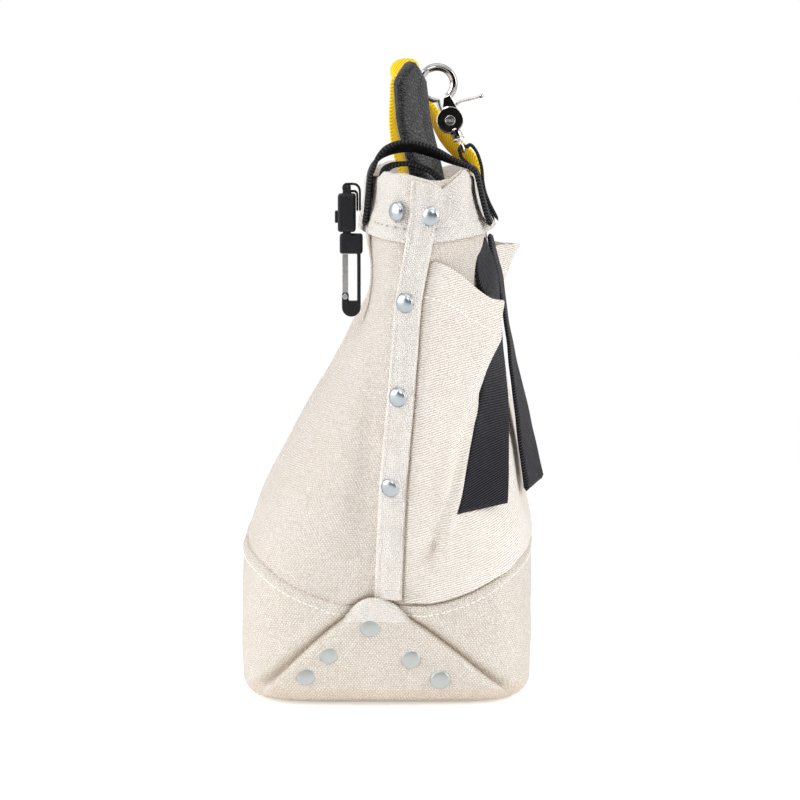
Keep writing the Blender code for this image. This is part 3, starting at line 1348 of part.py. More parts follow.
def clip_webbing():
    """The short band that hangs the buckle on the closure strap."""
    half = CLIP_WEBBING_THICKNESS / 2
    bar_y = SOCKET_MIDDLE
    bar_z = SOCKET_TOP + BAR_RISE
    radius = BAR_RADIUS + LAYER_GAP + half
    first = STRAP_FACE - LAYER_GAP - half
    second = first - LAYER_GAP - 2 * half
    foot = BAG_HEIGHT - CLIP_WEBBING_DROP
    top = bar_z + radius
    points = [(first, foot), (first, (foot + SOCKET_TOP) / 2), (first, SOCKET_TOP + half)]
    points += [(mix(first, bar_y, y), mix(SOCKET_TOP, top, z)) for y, z in CLIP_WEBBING_OVER_SHARES]
    for k in range(CLIP_WEBBING_STEPS + 1):
        angle = math.pi * (1 / 2 + k / CLIP_WEBBING_STEPS)
        points.append((bar_y + radius * math.cos(angle), bar_z + radius * math.sin(angle)))
    below = bar_z - radius
    points += [(mix(bar_y, second, y), mix(below, SOCKET_TOP, z)) for y, z in CLIP_WEBBING_UNDER_SHARES]
    points += [(second, mix(foot, SOCKET_TOP, share)) for share in CLIP_WEBBING_RISE_SHARES]
    route = [Vector((CLIP_X, y, z)) for y, z in points]
    sides = [SIDEWAYS] * len(route)
    mesh_data = strap_mesh(route, sides, CLIP_WEBBING_WIDTH, CLIP_WEBBING_THICKNESS)
    make_object("clip_webbing", mesh_data, BLACK_WEBBING)


BLOCK_TOP = SOCKET_FOOT - CLIP_BLOCK_GAP
BLOCK_FOOT = BLOCK_TOP - CLIP_BLOCK_HEIGHT
HOOK_FOOT = BLOCK_FOOT - CLIP_HOOK_LENGTH


def front_wall_y(z):
    """Y of the front wall behind the clip, which runs straight between its levels."""
    ys = [face_y(level, CLIP_X - CLIP_THICKNESS / 2, 0, -1) for level in LEVELS]
    return float(np.interp(z, LEVELS, ys))


def hook_back():
    """Y of the hook's back, clear of the front wall all round its foot when it is pulled down."""
    radius = CLIP_HOOK_WIDTH / 2
    backs = []
    for k in range(CLIP_FOOT_STEPS + 1):
        angle = math.pi / 2 * k / CLIP_FOOT_STEPS
        z = HOOK_FOOT - CLIP_TRAVEL + radius * (1 - math.sin(angle))
        backs.append(front_wall_y(z) + radius * (1 - math.cos(angle)))
    return min(backs) - CLIP_CLEARANCE


HOOK_BACK = hook_back()
HOOK_MIDDLE = HOOK_BACK - CLIP_HOOK_WIDTH / 2
HOOK_FRONT = HOOK_BACK - CLIP_HOOK_WIDTH
PIN_Y = HOOK_FRONT + CLIP_LUG_WIDTH / 2
PIN_Z = HOOK_FOOT + GATE_PIN_RISE


def clip_outline():
    """The hook's outline: down the spine, round the foot and up the lug that carries the gate."""
    radius = CLIP_HOOK_WIDTH / 2
    join = BLOCK_FOOT + CLIP_BEVEL * 2
    points = [(HOOK_BACK - CLIP_SPINE, join), (HOOK_BACK, join)]
    for k in range(CLIP_FOOT_STEPS + 1):
        angle = -math.pi * k / CLIP_FOOT_STEPS
        z = HOOK_FOOT + radius * (1 + math.sin(angle))
        points.append((HOOK_MIDDLE + radius * math.cos(angle), z))
    lug_top = HOOK_FOOT + CLIP_LUG_HEIGHT
    floor = HOOK_FOOT + CLIP_FOOT_THICKNESS
    lug_back = HOOK_FRONT + CLIP_LUG_WIDTH
    points += [(HOOK_FRONT, lug_top), (lug_back, lug_top), (lug_back, floor),
               (HOOK_BACK - CLIP_SPINE, floor)]
    return [Vector((0, y, z)) for y, z in points]


def clip_body():
    """The clip: the plug for the socket, the block under it and the hook."""
    half = CLIP_THICKNESS / 2
    block_half = CLIP_BLOCK_WIDTH / 2
    plug_x = CAVITY_WIDTH / 2 - PLUG_CLEARANCE
    plug_y = CAVITY_DEPTH / 2 - PLUG_CLEARANCE
    plug_top = SOCKET_FOOT - CLIP_BLOCK_GAP + PLUG_LENGTH
    origin = Vector((CLIP_X, SOCKET_MIDDLE, BLOCK_TOP))
    block = clip_box(plug_x + PLUG_CLEARANCE, HOOK_MIDDLE - block_half, HOOK_MIDDLE + block_half,
                     BLOCK_FOOT, BLOCK_TOP, SOCKET_BEVEL)
    body = make_object("clip_body", block, BLACK_PLASTIC, origin=origin)
    plug = clip_box(plug_x, SOCKET_MIDDLE - plug_y, SOCKET_MIDDLE + plug_y, BLOCK_TOP - SOCKET_BEVEL,
                    plug_top)
    hook = prism_mesh(clip_outline(), SIDEWAYS * (CLIP_X - half), SIDEWAYS * (CLIP_X + half))
    combine(body, [helper("plug_lump", plug), helper("clip_hook_lump", hook)], "UNION")
    slot_floor = PIN_Z - GATE_EYE_RADIUS - GATE_SLOT_CLEARANCE
    slot = clip_box(GATE_SLOT / 2, HOOK_FRONT - CUT_OVERRUN, PIN_Y + GATE_EYE_RADIUS + GATE_SLOT_CLEARANCE,
                    slot_floor, PIN_Z + GATE_EYE_RADIUS + CUT_OVERRUN)
    hole = bar_mesh(PIN_Y, PIN_Z, GATE_PIN_RADIUS + GATE_PIN_CLEARANCE, half + CUT_OVERRUN, 8)
    combine(body, [helper("gate_slot_cut", slot), helper("pin_cut", hole)], "DIFFERENCE")


def clip_gate():
    """The gate across the hook's mouth, on its pin."""
    half = GATE_SLOT / 2 - GATE_SLOT_CLEARANCE
    top = BLOCK_FOOT - GATE_END_GAP
    hinge = Vector((CLIP_X, PIN_Y, PIN_Z))
    eye = bar_mesh(PIN_Y, PIN_Z, GATE_EYE_RADIUS, half, 16)
    gate = make_object("clip_gate", eye, BRIGHT_STEEL, origin=hinge, smooth_angle=CREASE)
    bar = clip_box(half * GATE_BAR_SHARE, PIN_Y - GATE_BAR_WIDTH / 2, PIN_Y + GATE_BAR_WIDTH / 2,
                   PIN_Z + GATE_EYE_RADIUS / 3, top, 0)
    combine(gate, [helper("gate_bar_lump", bar)], "UNION")
    hole = bar_mesh(PIN_Y, PIN_Z, GATE_PIN_RADIUS + GATE_PIN_CLEARANCE, half + CUT_OVERRUN, 8)
    combine(gate, [helper("gate_hole_cut", hole)], "DIFFERENCE")


def clip_gate_pin():
    """The headed pin through the lug."""
    reach = CLIP_THICKNESS / 2 + GATE_PIN_CLEARANCE
    head = GATE_PIN_HEAD_HEIGHT
    length = 2 * reach
    profile = [(GATE_PIN_HEAD, 0), (GATE_PIN_HEAD, head), (GATE_PIN_RADIUS, head),
               (GATE_PIN_RADIUS, head + length), (GATE_PIN_HEAD, head + length),
               (GATE_PIN_HEAD, 2 * head + length)]
    start = Vector((CLIP_X - reach - head, PIN_Y, PIN_Z))
    make_object("clip_gate_pin", turned_mesh(start, SIDEWAYS, profile, 10), BRIGHT_STEEL)


bag_body()
bottom_wrap()
rim_cuff()
both_ends("seam_strip", seam_strip, PALE_CANVAS)
both_ends("end_flap", end_flap, CREAM_CANVAS)
back_pocket()
rivets()
hanging_strap(1)
hanging_strap(2)
closure_strap()
inner_strap()
leather_strap()
yellow_webbing()
leash_strap()
swivel_eye()
snap_body()
snap_gate()
snap_rivet()
buckle_socket()
release_button()
clip_webbing()
clip_body()
clip_gate()
clip_gate_pin()
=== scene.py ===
"""The looks of the canvas utility pouch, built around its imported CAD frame."""

import math

import bpy
import numpy as np
from mathutils import Matrix, Vector


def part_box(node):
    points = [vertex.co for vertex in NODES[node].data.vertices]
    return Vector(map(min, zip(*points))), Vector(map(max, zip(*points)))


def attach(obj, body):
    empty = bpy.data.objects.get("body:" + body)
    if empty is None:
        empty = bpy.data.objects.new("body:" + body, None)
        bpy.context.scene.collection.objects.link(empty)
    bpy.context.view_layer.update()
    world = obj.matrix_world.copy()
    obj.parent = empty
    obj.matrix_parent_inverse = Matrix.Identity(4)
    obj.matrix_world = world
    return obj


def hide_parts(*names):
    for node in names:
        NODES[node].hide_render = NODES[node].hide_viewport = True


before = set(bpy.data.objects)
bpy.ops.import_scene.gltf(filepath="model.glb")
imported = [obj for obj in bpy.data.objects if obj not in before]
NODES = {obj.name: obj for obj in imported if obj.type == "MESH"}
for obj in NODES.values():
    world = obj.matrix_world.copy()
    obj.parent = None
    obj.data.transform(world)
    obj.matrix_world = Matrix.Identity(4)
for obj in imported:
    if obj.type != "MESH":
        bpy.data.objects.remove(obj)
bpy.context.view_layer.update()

# -------- sizes, in metres
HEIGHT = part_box("bag_body")[1].z
BASE_WIDTH, MOUTH_WIDTH = 0.190, 0.280
BASE_DEPTH, MOUTH_DEPTH, MOUTH_TUCK = 0.148, 0.065, 0.0065
SEAM_LEAN, TUCK_LEAN, FRONT_SLACK = 0.021, 0.0035, 0.0070
CLOTH = 0.0016
# The middle of each layer of cloth, outward from the bag's skin
BODY_MIDDLE, WRAP_MIDDLE, CUFF_MIDDLE, FLAP_MIDDLE, POCKET_MIDDLE = -CLOTH / 2, 0.0014, 0.0011, 0.0043, 0.0020
STRIP_MIDDLE, STRIP_ON_CUFF = 0.0011, 0.0030
WRAP_LOW_TOP, WRAP_HIGH_TOP = 0.0545, 0.0785
CUFF_LOW, CUFF_CLIMB = HEIGHT - 0.033, 0.005
BACK_FLARE, FRONT_FLARE = 0.0035, 0.002
STRIP_HALF, STRIP_FOOT = 0.007, 0.0574
HEM, FOLD_STEP, STITCH_DIP = 0.00035, 0.0007, -0.0003
# How much the cloth's length grows over the height that it covers
SLOPE_STRETCH = 1.02
SIDE_WORDS = {1: "right", -1: "left"}

# -------- helpers on numbers


def mix(start, end, share):
    return start + (end - start) * share


def smooth(share):
    share = np.clip(share, 0, 1)
    return share * share * (3 - 2 * share)


def ease(value, start, length):
    """0 up to a start and 1 from a length further on."""
    return smooth((value - start) / length)


def between(value, rise, fall):
    """0, then 1 between a rise and a fall, each given by its start and length."""
    return ease(value, *rise) * (1 - ease(value, *fall))


def swell(value, form):
    """A rounded ridge, or a hollow where its height is below 0, from its height, middle and width."""
    height, middle, width = form
    return height * np.exp(-((value - middle) / width) ** 2)


def rounded(share):
    """The fullness of a round edge, from 0 at its rim to 1."""
    return np.sqrt(np.clip(1 - (1 - np.clip(share, 0, 1)) ** 2, 0, 1))


def unit(vectors):
    return vectors / np.maximum(np.linalg.norm(vectors, axis=-1, keepdims=True), 1e-12)


def curve_at(stations, values, wanted):
    """A smooth curve through values given at rising stations, read at the wanted places."""
    stations, values = np.asarray(stations, float), np.asarray(values, float)
    flat = values.reshape(len(stations), -1)
    gaps = np.diff(stations)[:, None]
    rises = np.diff(flat, axis=0) / gaps
    slopes = np.empty_like(flat)
    slopes[0], slopes[-1] = rises[0], rises[-1]
    slopes[1:-1] = (rises[:-1] * gaps[1:] + rises[1:] * gaps[:-1]) / (gaps[1:] + gaps[:-1])
    k = np.clip(np.searchsorted(stations, wanted, side="right") - 1, 0, len(stations) - 2)
    gap = gaps[k]
    t = ((np.asarray(wanted) - stations[k])[:, None]) / gap
    found = ((2 * t ** 3 - 3 * t ** 2 + 1) * flat[k] + (t ** 3 - 2 * t ** 2 + t) * gap * slopes[k]
             + (3 * t ** 2 - 2 * t ** 3) * flat[k + 1] + (t ** 3 - t ** 2) * gap * slopes[k + 1])
    return found.reshape((len(found),) + values.shape[1:])


def ripple(points, seed, shortest, longest, count=14):
    """A soft random field over points, about -1 to 1, with waves between two lengths."""
    rng = np.random.default_rng(seed)
    total = np.zeros(points.shape[:-1])
    for _ in range(count):
        direction = unit(rng.normal(size=3))
        length = mix(shortest, longest, rng.random())
        total += np.sin(points @ direction * (2 * math.pi / length) + rng.random() * 2 * math.pi)
    return total / math.sqrt(count / 2) / 1.6


# -------- the bag's skin


def half_width(z):
    return mix(BASE_WIDTH, MOUTH_WIDTH, 1 - (1 - z / HEIGHT) ** 2) / 2


def quarter_of(turn):
    """The quarter that each turn lies in, and its share of the way from the end seam to a face's middle."""
    quarters = (np.asarray(turn) % 1) * 4
    quarter = np.minimum(quarters.astype(int), 3)
    share = quarters - quarter
    return quarter, np.where(quarter % 2 == 1, 1 - share, share)


class Skin:
    """The bag's outside by turn and height: turn 0 is the right seam, 0.25 the middle of the back."""

    ROUNDING = 0.011
    TAPER = (0.0724, 0.2374)
    # By height as a share: levels that the outline is worked out at, the front's slack, the seam's shift
    LEVELS = (0.13, 0.215, 0.3, 0.39, 0.48, 0.58, 0.67, 0.762, 0.82, 0.878, 1)
    SLACK_RISES, SLACKS = (0.42, 0.58, 0.67, 0.762, 0.82, 0.878, 1), (0, 0.22, 0.5, 1, 0.74, 0.2, 0)
    SEAM_RISES = (0.0, 0.231, 0.431, 0.6, 0.774, 0.85, 0.939, 1)
    SEAM_SHIFTS = (0.0, 0.05, 0.165, 0.357, 0.524, 0.71, 0.895, 0.92)

    def __init__(self):
        self.shares = np.linspace(0, 1, 241)
        levels = [self.ROUNDING] + [share * HEIGHT for share in self.LEVELS]
        self.heights = np.linspace(0, HEIGHT, 381)
        low = self.heights < self.ROUNDING
        rows = [self.outline(z) for z in self.heights[low]]
        upper = np.array([self.outline(z) for z in levels])
        self.table = np.concatenate([np.array(rows), curve_at(levels, upper, self.heights[~low])])
        known = [*self.heights[low], *levels]
        self.lengths = np.interp(self.heights, known, [self.quarter(z)[4] for z in known])

    def taper(self, z):
        start, end = self.TAPER
        return float(smooth(min(max((z - start) / (end - start), 0), 1) ** 0.86))

    def tuck(self, z):
        return max(0, (z - self.TAPER[1]) / (HEIGHT - self.TAPER[1]))

    def quarter(self, z):
        """Points of a quarter of the outline, evenly spaced, and its length."""
        inset = 0 if z >= self.ROUNDING else (
            self.ROUNDING - math.sqrt(self.ROUNDING ** 2 - (self.ROUNDING - z) ** 2))
        across = mix(BASE_DEPTH, MOUTH_DEPTH, self.taper(z)) / 2 - MOUTH_TUCK * self.tuck(z)
        along = half_width(z)
        boxed = 1 - min(z / (0.58 * HEIGHT), 1)
        opened = float(smooth((z / HEIGHT - 0.766) / (0.98 - 0.766)))
        power = 2 / (2.5 + 3.5 * boxed ** 2 + 0.9 * opened)
        angles = np.linspace(0, math.pi / 2, 1600)
        xs = (along - inset) * np.clip(np.cos(angles), 0, 1) ** power
        ys = (across - inset) * np.clip(np.sin(angles), 0, 1) ** power
        lengths = np.concatenate(([0], np.cumsum(np.hypot(np.diff(xs), np.diff(ys)))))
        share = lengths / lengths[-1]
        return np.interp(self.shares, share, xs), np.interp(self.shares, share, ys), along, across, lengths[-1]

    def outline(self, z):
        """Columns x, y at the back, y at the front, and the way outward, for a quarter turn."""
        px, py, along, across, _ = self.quarter(z)
        dx = np.diff(px, prepend=px[1], append=-px[-2])
        dy = np.diff(py, prepend=-py[1], append=py[-2])
        angles = np.arctan2(-dx, dy)
        facing = (angles[:-1] + angles[1:]) / 2
        lean = SEAM_LEAN * self.taper(z) - TUCK_LEAN * self.tuck(z)
        shift = mix(lean, self.seam_y(z), (px / along) ** 2)
        slack = FRONT_SLACK * np.interp(z / HEIGHT, self.SLACK_RISES, self.SLACKS) * (py / across) ** 2.1
        return np.stack([px, py + shift, -py + shift + slack, np.cos(facing), np.sin(facing)], axis=-1)

    @staticmethod
    def seam_y(z):
        return SEAM_LEAN * np.interp(np.asarray(z) / HEIGHT, Skin.SEAM_RISES, Skin.SEAM_SHIFTS)

    def read(self, z, share):
        rows = np.clip(z / HEIGHT, 0, 1) * (len(self.heights) - 1)
        columns = np.clip(share, 0, 1) * (len(self.shares) - 1)
        r = np.minimum(rows.astype(int), len(self.heights) - 2)
        c = np.minimum(columns.astype(int), len(self.shares) - 2)
        a, b = (rows - r)[..., None], (columns - c)[..., None]
        table = self.table
        return ((table[r, c] * (1 - b) + table[r, c + 1] * b) * (1 - a)
                + (table[r + 1, c] * (1 - b) + table[r + 1, c + 1] * b) * a)

    def place(self, turn, z, offset=0):
        """Points at turns and heights, offset outward."""
        turn, z, offset = np.broadcast_arrays(np.asarray(turn, float), z, offset)
        q, share = quarter_of(turn)
        values = self.read(z, share)
        x = values[..., 0] + values[..., 3] * offset
        front = q >= 2
        y = np.where(front, values[..., 2] - values[..., 4] * offset, values[..., 1] + values[..., 4] * offset)
        return np.stack([np.where((q == 1) | (q == 2), -x, x), y, z], axis=-1)

    def length_at(self, z):
        """Length of a quarter turn at a height."""
        return np.interp(z, self.heights, self.lengths)

    def turn_at(self, z, y, offset=0):
        """Turn near the right seam where the outline passes a given y, for one height."""
        turns = np.linspace(-0.25, 0.25, 481)
        return np.interp(y, self.place(turns, z, offset)[:, 1], turns)

    def cloth_uv(self, turn, z, back):
        """Metres along the weave: across from the middle of a face, and up."""
        middle = np.where(back, 0.25, 0.75)
        across = (turn - middle) * 4 * self.length_at(z)
        return np.stack([across, np.asarray(z) * SLOPE_STRETCH], axis=-1)


skin = Skin()


def end_share(z):
    """0 at the bag's ends to 1 where its faces are deepest, by turn."""
    depths = skin.quarter(z)[1]
    depths = depths / depths[-1]

    def share_at(turn):
        return np.interp(quarter_of(turn)[1], skin.shares, depths)

    return share_at


wrap_end_share = end_share(0.215 * HEIGHT)
cuff_end_share = end_share(CUFF_LOW)


def wrap_top(turn):
    climb = np.maximum(0, (wrap_end_share(turn) - 0.25) / 0.75) ** 1.6
    return mix(WRAP_LOW_TOP, WRAP_HIGH_TOP, climb)


def cuff_edge(turn):
    return CUFF_LOW + CUFF_CLIMB * cuff_end_share(turn)


def cuff_flare(turn):
    behind = (np.asarray(turn) % 1) < 0.5
    return np.where(behind, BACK_FLARE, FRONT_FLARE) * cuff_end_share(turn) ** 2


# -------- meshes


def travelled_along(points):
    """The way along a line of points up to each."""
    return np.concatenate([[0], np.cumsum(np.linalg.norm(np.diff(points, axis=0), axis=1))])


def tube_faces(start, rings, sides, turned=False):
    """The faces of a tube whose rings of vertices follow each other from a start."""
    faces = []
    for low in range(start, start + (rings - 1) * sides, sides):
        for k in range(sides):
            a, b = low + k, low + (k + 1) % sides
            faces.append((b, a, a + sides, b + sides) if turned else (a, b, b + sides, a + sides))
    return faces


def mesh_object(name, vertices, faces, uvs, material):
    """A smooth mesh object; uvs, where there are any, hold one pair for each corner of each face."""
    data = bpy.data.meshes.new(name)
    data.from_pydata(np.asarray(vertices).tolist(), [], faces)
    if uvs is not None:
        places = data.uv_layers.new(name="cloth")
        places.data.foreach_set("uv", np.asarray(uvs, np.float32).ravel())
    data.polygons.foreach_set("use_smooth", [True] * len(data.polygons))
    data.materials.append(material)
    data.update()
    made = bpy.data.objects.new(name, data)
    bpy.context.scene.collection.objects.link(made)
    return made


def quads(rows, columns, closed):
    """The row and column of each corner of each face of a grid."""
    across = columns if closed else columns - 1
    r, c = np.meshgrid(np.arange(rows - 1), np.arange(across), indexing="ij")
    r, c = r.ravel(), c.ravel()
    return np.stack([np.stack([r, c], -1), np.stack([r, c + 1], -1),
                     np.stack([r + 1, c + 1], -1), np.stack([r + 1, c], -1)], 1)


def rings_object(name, points, uv, material):
    """A single surface over closed rings of points."""
    rows, columns = points.shape[:2]
    cells = quads(rows, columns, closed=True)
    index = cells[..., 0] * columns + cells[..., 1] % columns
    corner_uv = uv[cells[..., 0], cells[..., 1]].reshape(-1, 2)
    return mesh_object(name, points.reshape(-1, 3), index.tolist(), corner_uv, material)


def sheet_object(name, outer, inner, uv, material, closed=False):
    """Cloth between two grids of points that share their borders."""
    rows, columns = outer.shape[:2]
    count = rows * columns
    cells = quads(rows, columns, closed)
    r, c = cells[..., 0], cells[..., 1] % columns
    front = r * columns + c
    border = (r == 0) | (r == rows - 1)
    if not closed:
        border |= (c == 0) | (c == columns - 1)
    back = np.where(border, front, front + count)[:, ::-1]
    corner_uv = uv[cells[..., 0], cells[..., 1]]
    faces = np.concatenate([front, back])
    used, faces = np.unique(faces, return_inverse=True)
    points = np.concatenate([outer.reshape(-1, 3), inner.reshape(-1, 3)])[used]
    corner_uv = np.concatenate([corner_uv, corner_uv[:, ::-1]]).reshape(-1, 2)
    return mesh_object(name, points, faces.reshape(-1, 4).tolist(), corner_uv, material)


def edged(count, rounding_share):
    """Shares from 0 to 1 with close steps at both ends, and the share of full thickness at each."""
    return band(count, rounding_share, rounding_share)


EDGE_ANGLES = np.radians((0, 25, 50, 72, 90))


def band(count, start_rounding=None, end_rounding=None):
    """As edged, but with each end rounded or not, and its own share."""
    steps = 1 - np.cos(EDGE_ANGLES)
    low = steps * start_rounding if start_rounding else np.array([0.0])
    high = 1 - (steps * end_rounding)[::-1] if end_rounding else np.array([1.0])
    shares = np.concatenate([low, np.linspace(low[-1], high[0], count)[1:-1], high])
    full = np.ones_like(shares)
    if start_rounding:
        full *= rounded(shares / start_rounding)
    if end_rounding:
        full *= rounded((1 - shares) / end_rounding)
    return shares, full


# -------- materials


class Value:
    """A number or colour in a material's node tree, which sums and products are made of."""

    def __init__(self, shade, socket):
        self.shade, self.socket = shade, socket

    def __add__(self, other):
        return self.shade.math("ADD", self, other)

    def __sub__(self, other):
        return self.shade.math("SUBTRACT", self, other)

    def __mul__(self, other):
        return self.shade.math("MULTIPLY", self, other)

    def wave(self, length):
        """A cosine along this value that repeats after a length."""
        return self.shade.math("COSINE", self * (2 * math.pi / length))


class Shade:
    """Short calls for building one procedural material."""

    def __init__(self, name, **settings):
        self.material = bpy.data.materials.new(name)
        self.material.use_nodes = True
        self.tree = self.material.node_tree
        self.shader = self.tree.nodes["Principled BSDF"]
        for key, value in settings.items():
            self.shader.inputs[key.replace("_", " ").title().replace("Ior", "IOR")].default_value = value
        self.places = self.tree.nodes.new("ShaderNodeTexCoord")

    def node(self, kind, inputs, **settings):
        made = self.tree.nodes.new(kind)
        for key, value in settings.items():
            setattr(made, key, value)
        for key, value in inputs.items():
            self.feed(made.inputs[key], value)
        return made

    def feed(self, socket, value):
        if isinstance(value, Value):
            self.tree.links.new(value.socket, socket)
        elif isinstance(value, bpy.types.NodeSocket):
            self.tree.links.new(value, socket)
        else:
            socket.default_value = value

    def math(self, operation, *values):
        return Value(self, self.node("ShaderNodeMath", dict(enumerate(values)), operation=operation).outputs[0])

    def noise(self, scale, detail=2.0, roughness=0.5, stretch=None):
        vector = self.places.outputs["Object"]
        if stretch:
            vector = self.node("ShaderNodeVectorMath", {0: vector, 1: stretch}, operation="MULTIPLY").outputs[0]
        inputs = {"Vector": vector, "Scale": scale, "Detail": detail, "Roughness": roughness}
        return Value(self, self.node("ShaderNodeTexNoise", inputs).outputs["Fac"])

    def ramp(self, value, low, high):
        """The value moved from low..high to 0..1, with an easy start and end."""
        inputs = {"Value": value, "From Min": low, "From Max": high}
        made = self.node("ShaderNodeMapRange", inputs, interpolation_type="SMOOTHSTEP")
        return Value(self, made.outputs["Result"])

    def blend(self, share, first, second, blend_type="MIX"):
        """One colour turned into another by a share."""
        colours = [(*colour, 1.0) if isinstance(colour, tuple) else colour for colour in (first, second)]
        made = self.node("ShaderNodeMix", {}, data_type="RGBA", blend_type=blend_type)
        for key, value in zip((0, 6, 7), (share, *colours)):
            self.feed(made.inputs[key], value)
        return Value(self, made.outputs[2])

    def uv(self):
        parts = self.node("ShaderNodeSeparateXYZ", {0: self.places.outputs["UV"]})
        return Value(self, parts.outputs[0]), Value(self, parts.outputs[1])

    def finish(self, colour, height=None, depth=0.0003, strength=1.0, roughness=None):
        """Colour and bump plugged into the shader."""
        self.feed(self.shader.inputs["Base Color"], (*colour, 1.0) if isinstance(colour, tuple) else colour)
        if roughness is not None:
            self.feed(self.shader.inputs["Roughness"], roughness)
        if height is not None:
            made = self.node("ShaderNodeBump", {"Height": height, "Distance": depth, "Strength": strength})
            self.feed(self.shader.inputs["Normal"], made.outputs[0])
        return self.material


WHITE = (1.0, 1.0, 1.0)
# AGED_TINT and SPECK are the canvas's own colours; the third tint darkens the canvas as painted shade in
# hollows and creases.
AGED_TINT, SPECK, PAINTED_SHADE_TINT = (0.985, 0.972, 0.95), (0.45, 0.34, 0.22), (0.90, 0.80, 0.68)
RIB_CLIMB = 0.30


def canvas(name, light, dark, across=0.00082, up=0.00108, contrast=0.95, depth=0.00055, grain=0.0, seed=0.0,
           rows=0.0):
    """Plain-woven duck: raised yarn crossings in a brick pattern, or rows of them, with slubs and specks; its
    colour holds painted shade between the yarns and in hollows.
    """
    shade = Shade(name, roughness=0.93, specular_ior_level=0.2, sheen_weight=0.12, sheen_roughness=0.6)
    u, v = shade.uv()
    swing = 0.0010 if rows else 0.0024
    u = u + (shade.noise(90 + seed) - 0.5) * swing
    v = v + (shade.noise(110 + seed) - 0.5) * swing
    if rows:
        v = v - u * RIB_CLIMB
    crossings = u.wave(2 * across) * v.wave(2 * up)
    over, under = (shade.math("POWER", shade.math("MAXIMUM", crossings * sign, 0.0), 0.8) for sign in (1, -1))
    weave = over + under * 0.30
    if rows:
        weave = weave * (1 - rows) + (v.wave(up) + 1.0) * (0.5 * rows)
    yarn = shade.noise(620, detail=3, roughness=0.65)
    weave = weave * shade.ramp(shade.noise(260, stretch=(1.0, 1.0, 0.25)), -0.25, 0.55)
    fine, broad = shade.noise(1500), shade.noise(26, detail=3, roughness=0.6)
    # The colour darkens where the weave lies low: partly painted shade between the raised yarns, partly random
    # yarn tone from the noise.
    tone = weave * contrast + (fine - 0.5) * 0.9 + (yarn - 0.5) * 0.8
    colour = shade.blend(shade.ramp(tone, -0.15, 0.75), dark, light)
    tint = shade.blend(shade.ramp(broad, 0.35, 0.68), WHITE, AGED_TINT)
    colour = shade.blend(1.0, colour, tint, "MULTIPLY")
    specks = shade.ramp(shade.noise(480, detail=1), 0.765, 0.80) * 0.45
    colour = shade.blend(specks, colour, SPECK)
    # Painted shade: where ambient occlusion finds the cloth hemmed in, in hollows, creases and gaps between
    # parts, the colour is darkened with a tan tint.
    open_share = shade.node("ShaderNodeAmbientOcclusion", {"Distance": 0.016}, samples=8).outputs["AO"]
    painted_shade = shade.ramp(open_share, 0.25, 0.95) * -0.5 + 0.5
    colour = shade.blend(painted_shade, colour, shade.blend(1.0, colour, PAINTED_SHADE_TINT, "MULTIPLY"))
    return shade.finish(colour, weave + yarn * (0.55 + grain), depth, 0.9)


def webbing(name, colour, edge, rib, slant, depth=0.0006):
    """Woven tape: ribs across it on a slant, each broken into short yarns."""
    shade = Shade(name, roughness=0.66, specular_ior_level=0.16)
    u, v = shade.uv()
    ribs = (v + u * slant).wave(rib) * 0.5 + u.wave(0.0011) * 0.12
    height = ribs + shade.noise(900, detail=3, roughness=0.6) * 0.7
    worn = shade.ramp(shade.noise(60, detail=3), 0.45, 0.75)
    tone = shade.ramp(height, 0.05, 0.85) + worn * 0.15
    return shade.finish(shade.blend(tone, colour, edge), height, depth)


def metal(name, colour, roughness, brushed=0.0):
    """Plated steel: a bright skin, dulled in patches and faintly scratched."""
    shade = Shade(name, roughness=roughness, metallic=1.0)
    patch = shade.ramp(shade.noise(90, detail=4, roughness=0.6), 0.42, 0.75)
    scratch = shade.noise(900, detail=3, stretch=(1.0, 1.0, 0.08))
    dulled = tuple(part * share for part, share in zip(colour, (0.90, 0.90, 0.89)))
    rough = patch * 0.06 + roughness + scratch * brushed
    dents = shade.noise(420, detail=3)
    return shade.finish(shade.blend(patch, colour, dulled), dents, 0.00002 + brushed * 0.0002, 0.4, rough)


def plastic(name, colour, worn):
    """Moulded plastic: a fine spark-eroded grain and rubbed high spots."""
    shade = Shade(name, roughness=0.48, specular_ior_level=0.28)
    rubbed = shade.ramp(shade.noise(240, detail=4, roughness=0.7), 0.5, 0.78)
    return shade.finish(shade.blend(rubbed * 0.5, colour, worn), shade.noise(2600), 0.00008, 0.8)


def leather(name, colour, high):
    """Pebbled leather: raised cells with dark creases, polished where it rubs."""
    shade = Shade(name, roughness=0.30, specular_ior_level=0.4, coat_weight=0.2, coat_roughness=0.2)
    inputs = {"Vector": shade.places.outputs["Object"], "Scale": 560.0}
    cells = shade.node("ShaderNodeTexVoronoi", inputs, feature="DISTANCE_TO_EDGE").outputs["Distance"]
    pebble = shade.ramp(cells, 0.0, 0.28)
    tone = pebble * shade.ramp(shade.noise(220, detail=3), 0.3, 0.7)
    height = pebble + shade.noise(1300, detail=3) * 0.5
    return shade.finish(shade.blend(tone, colour, high), height, 0.0009)


def thread(name, light, dark):
    """Twisted sewing thread."""
    shade = Shade(name, roughness=0.8, specular_ior_level=0.25)
    twist = shade.noise(1800)
    return shade.finish(shade.blend(twist, dark, light), twist, 0.0001, 0.6)
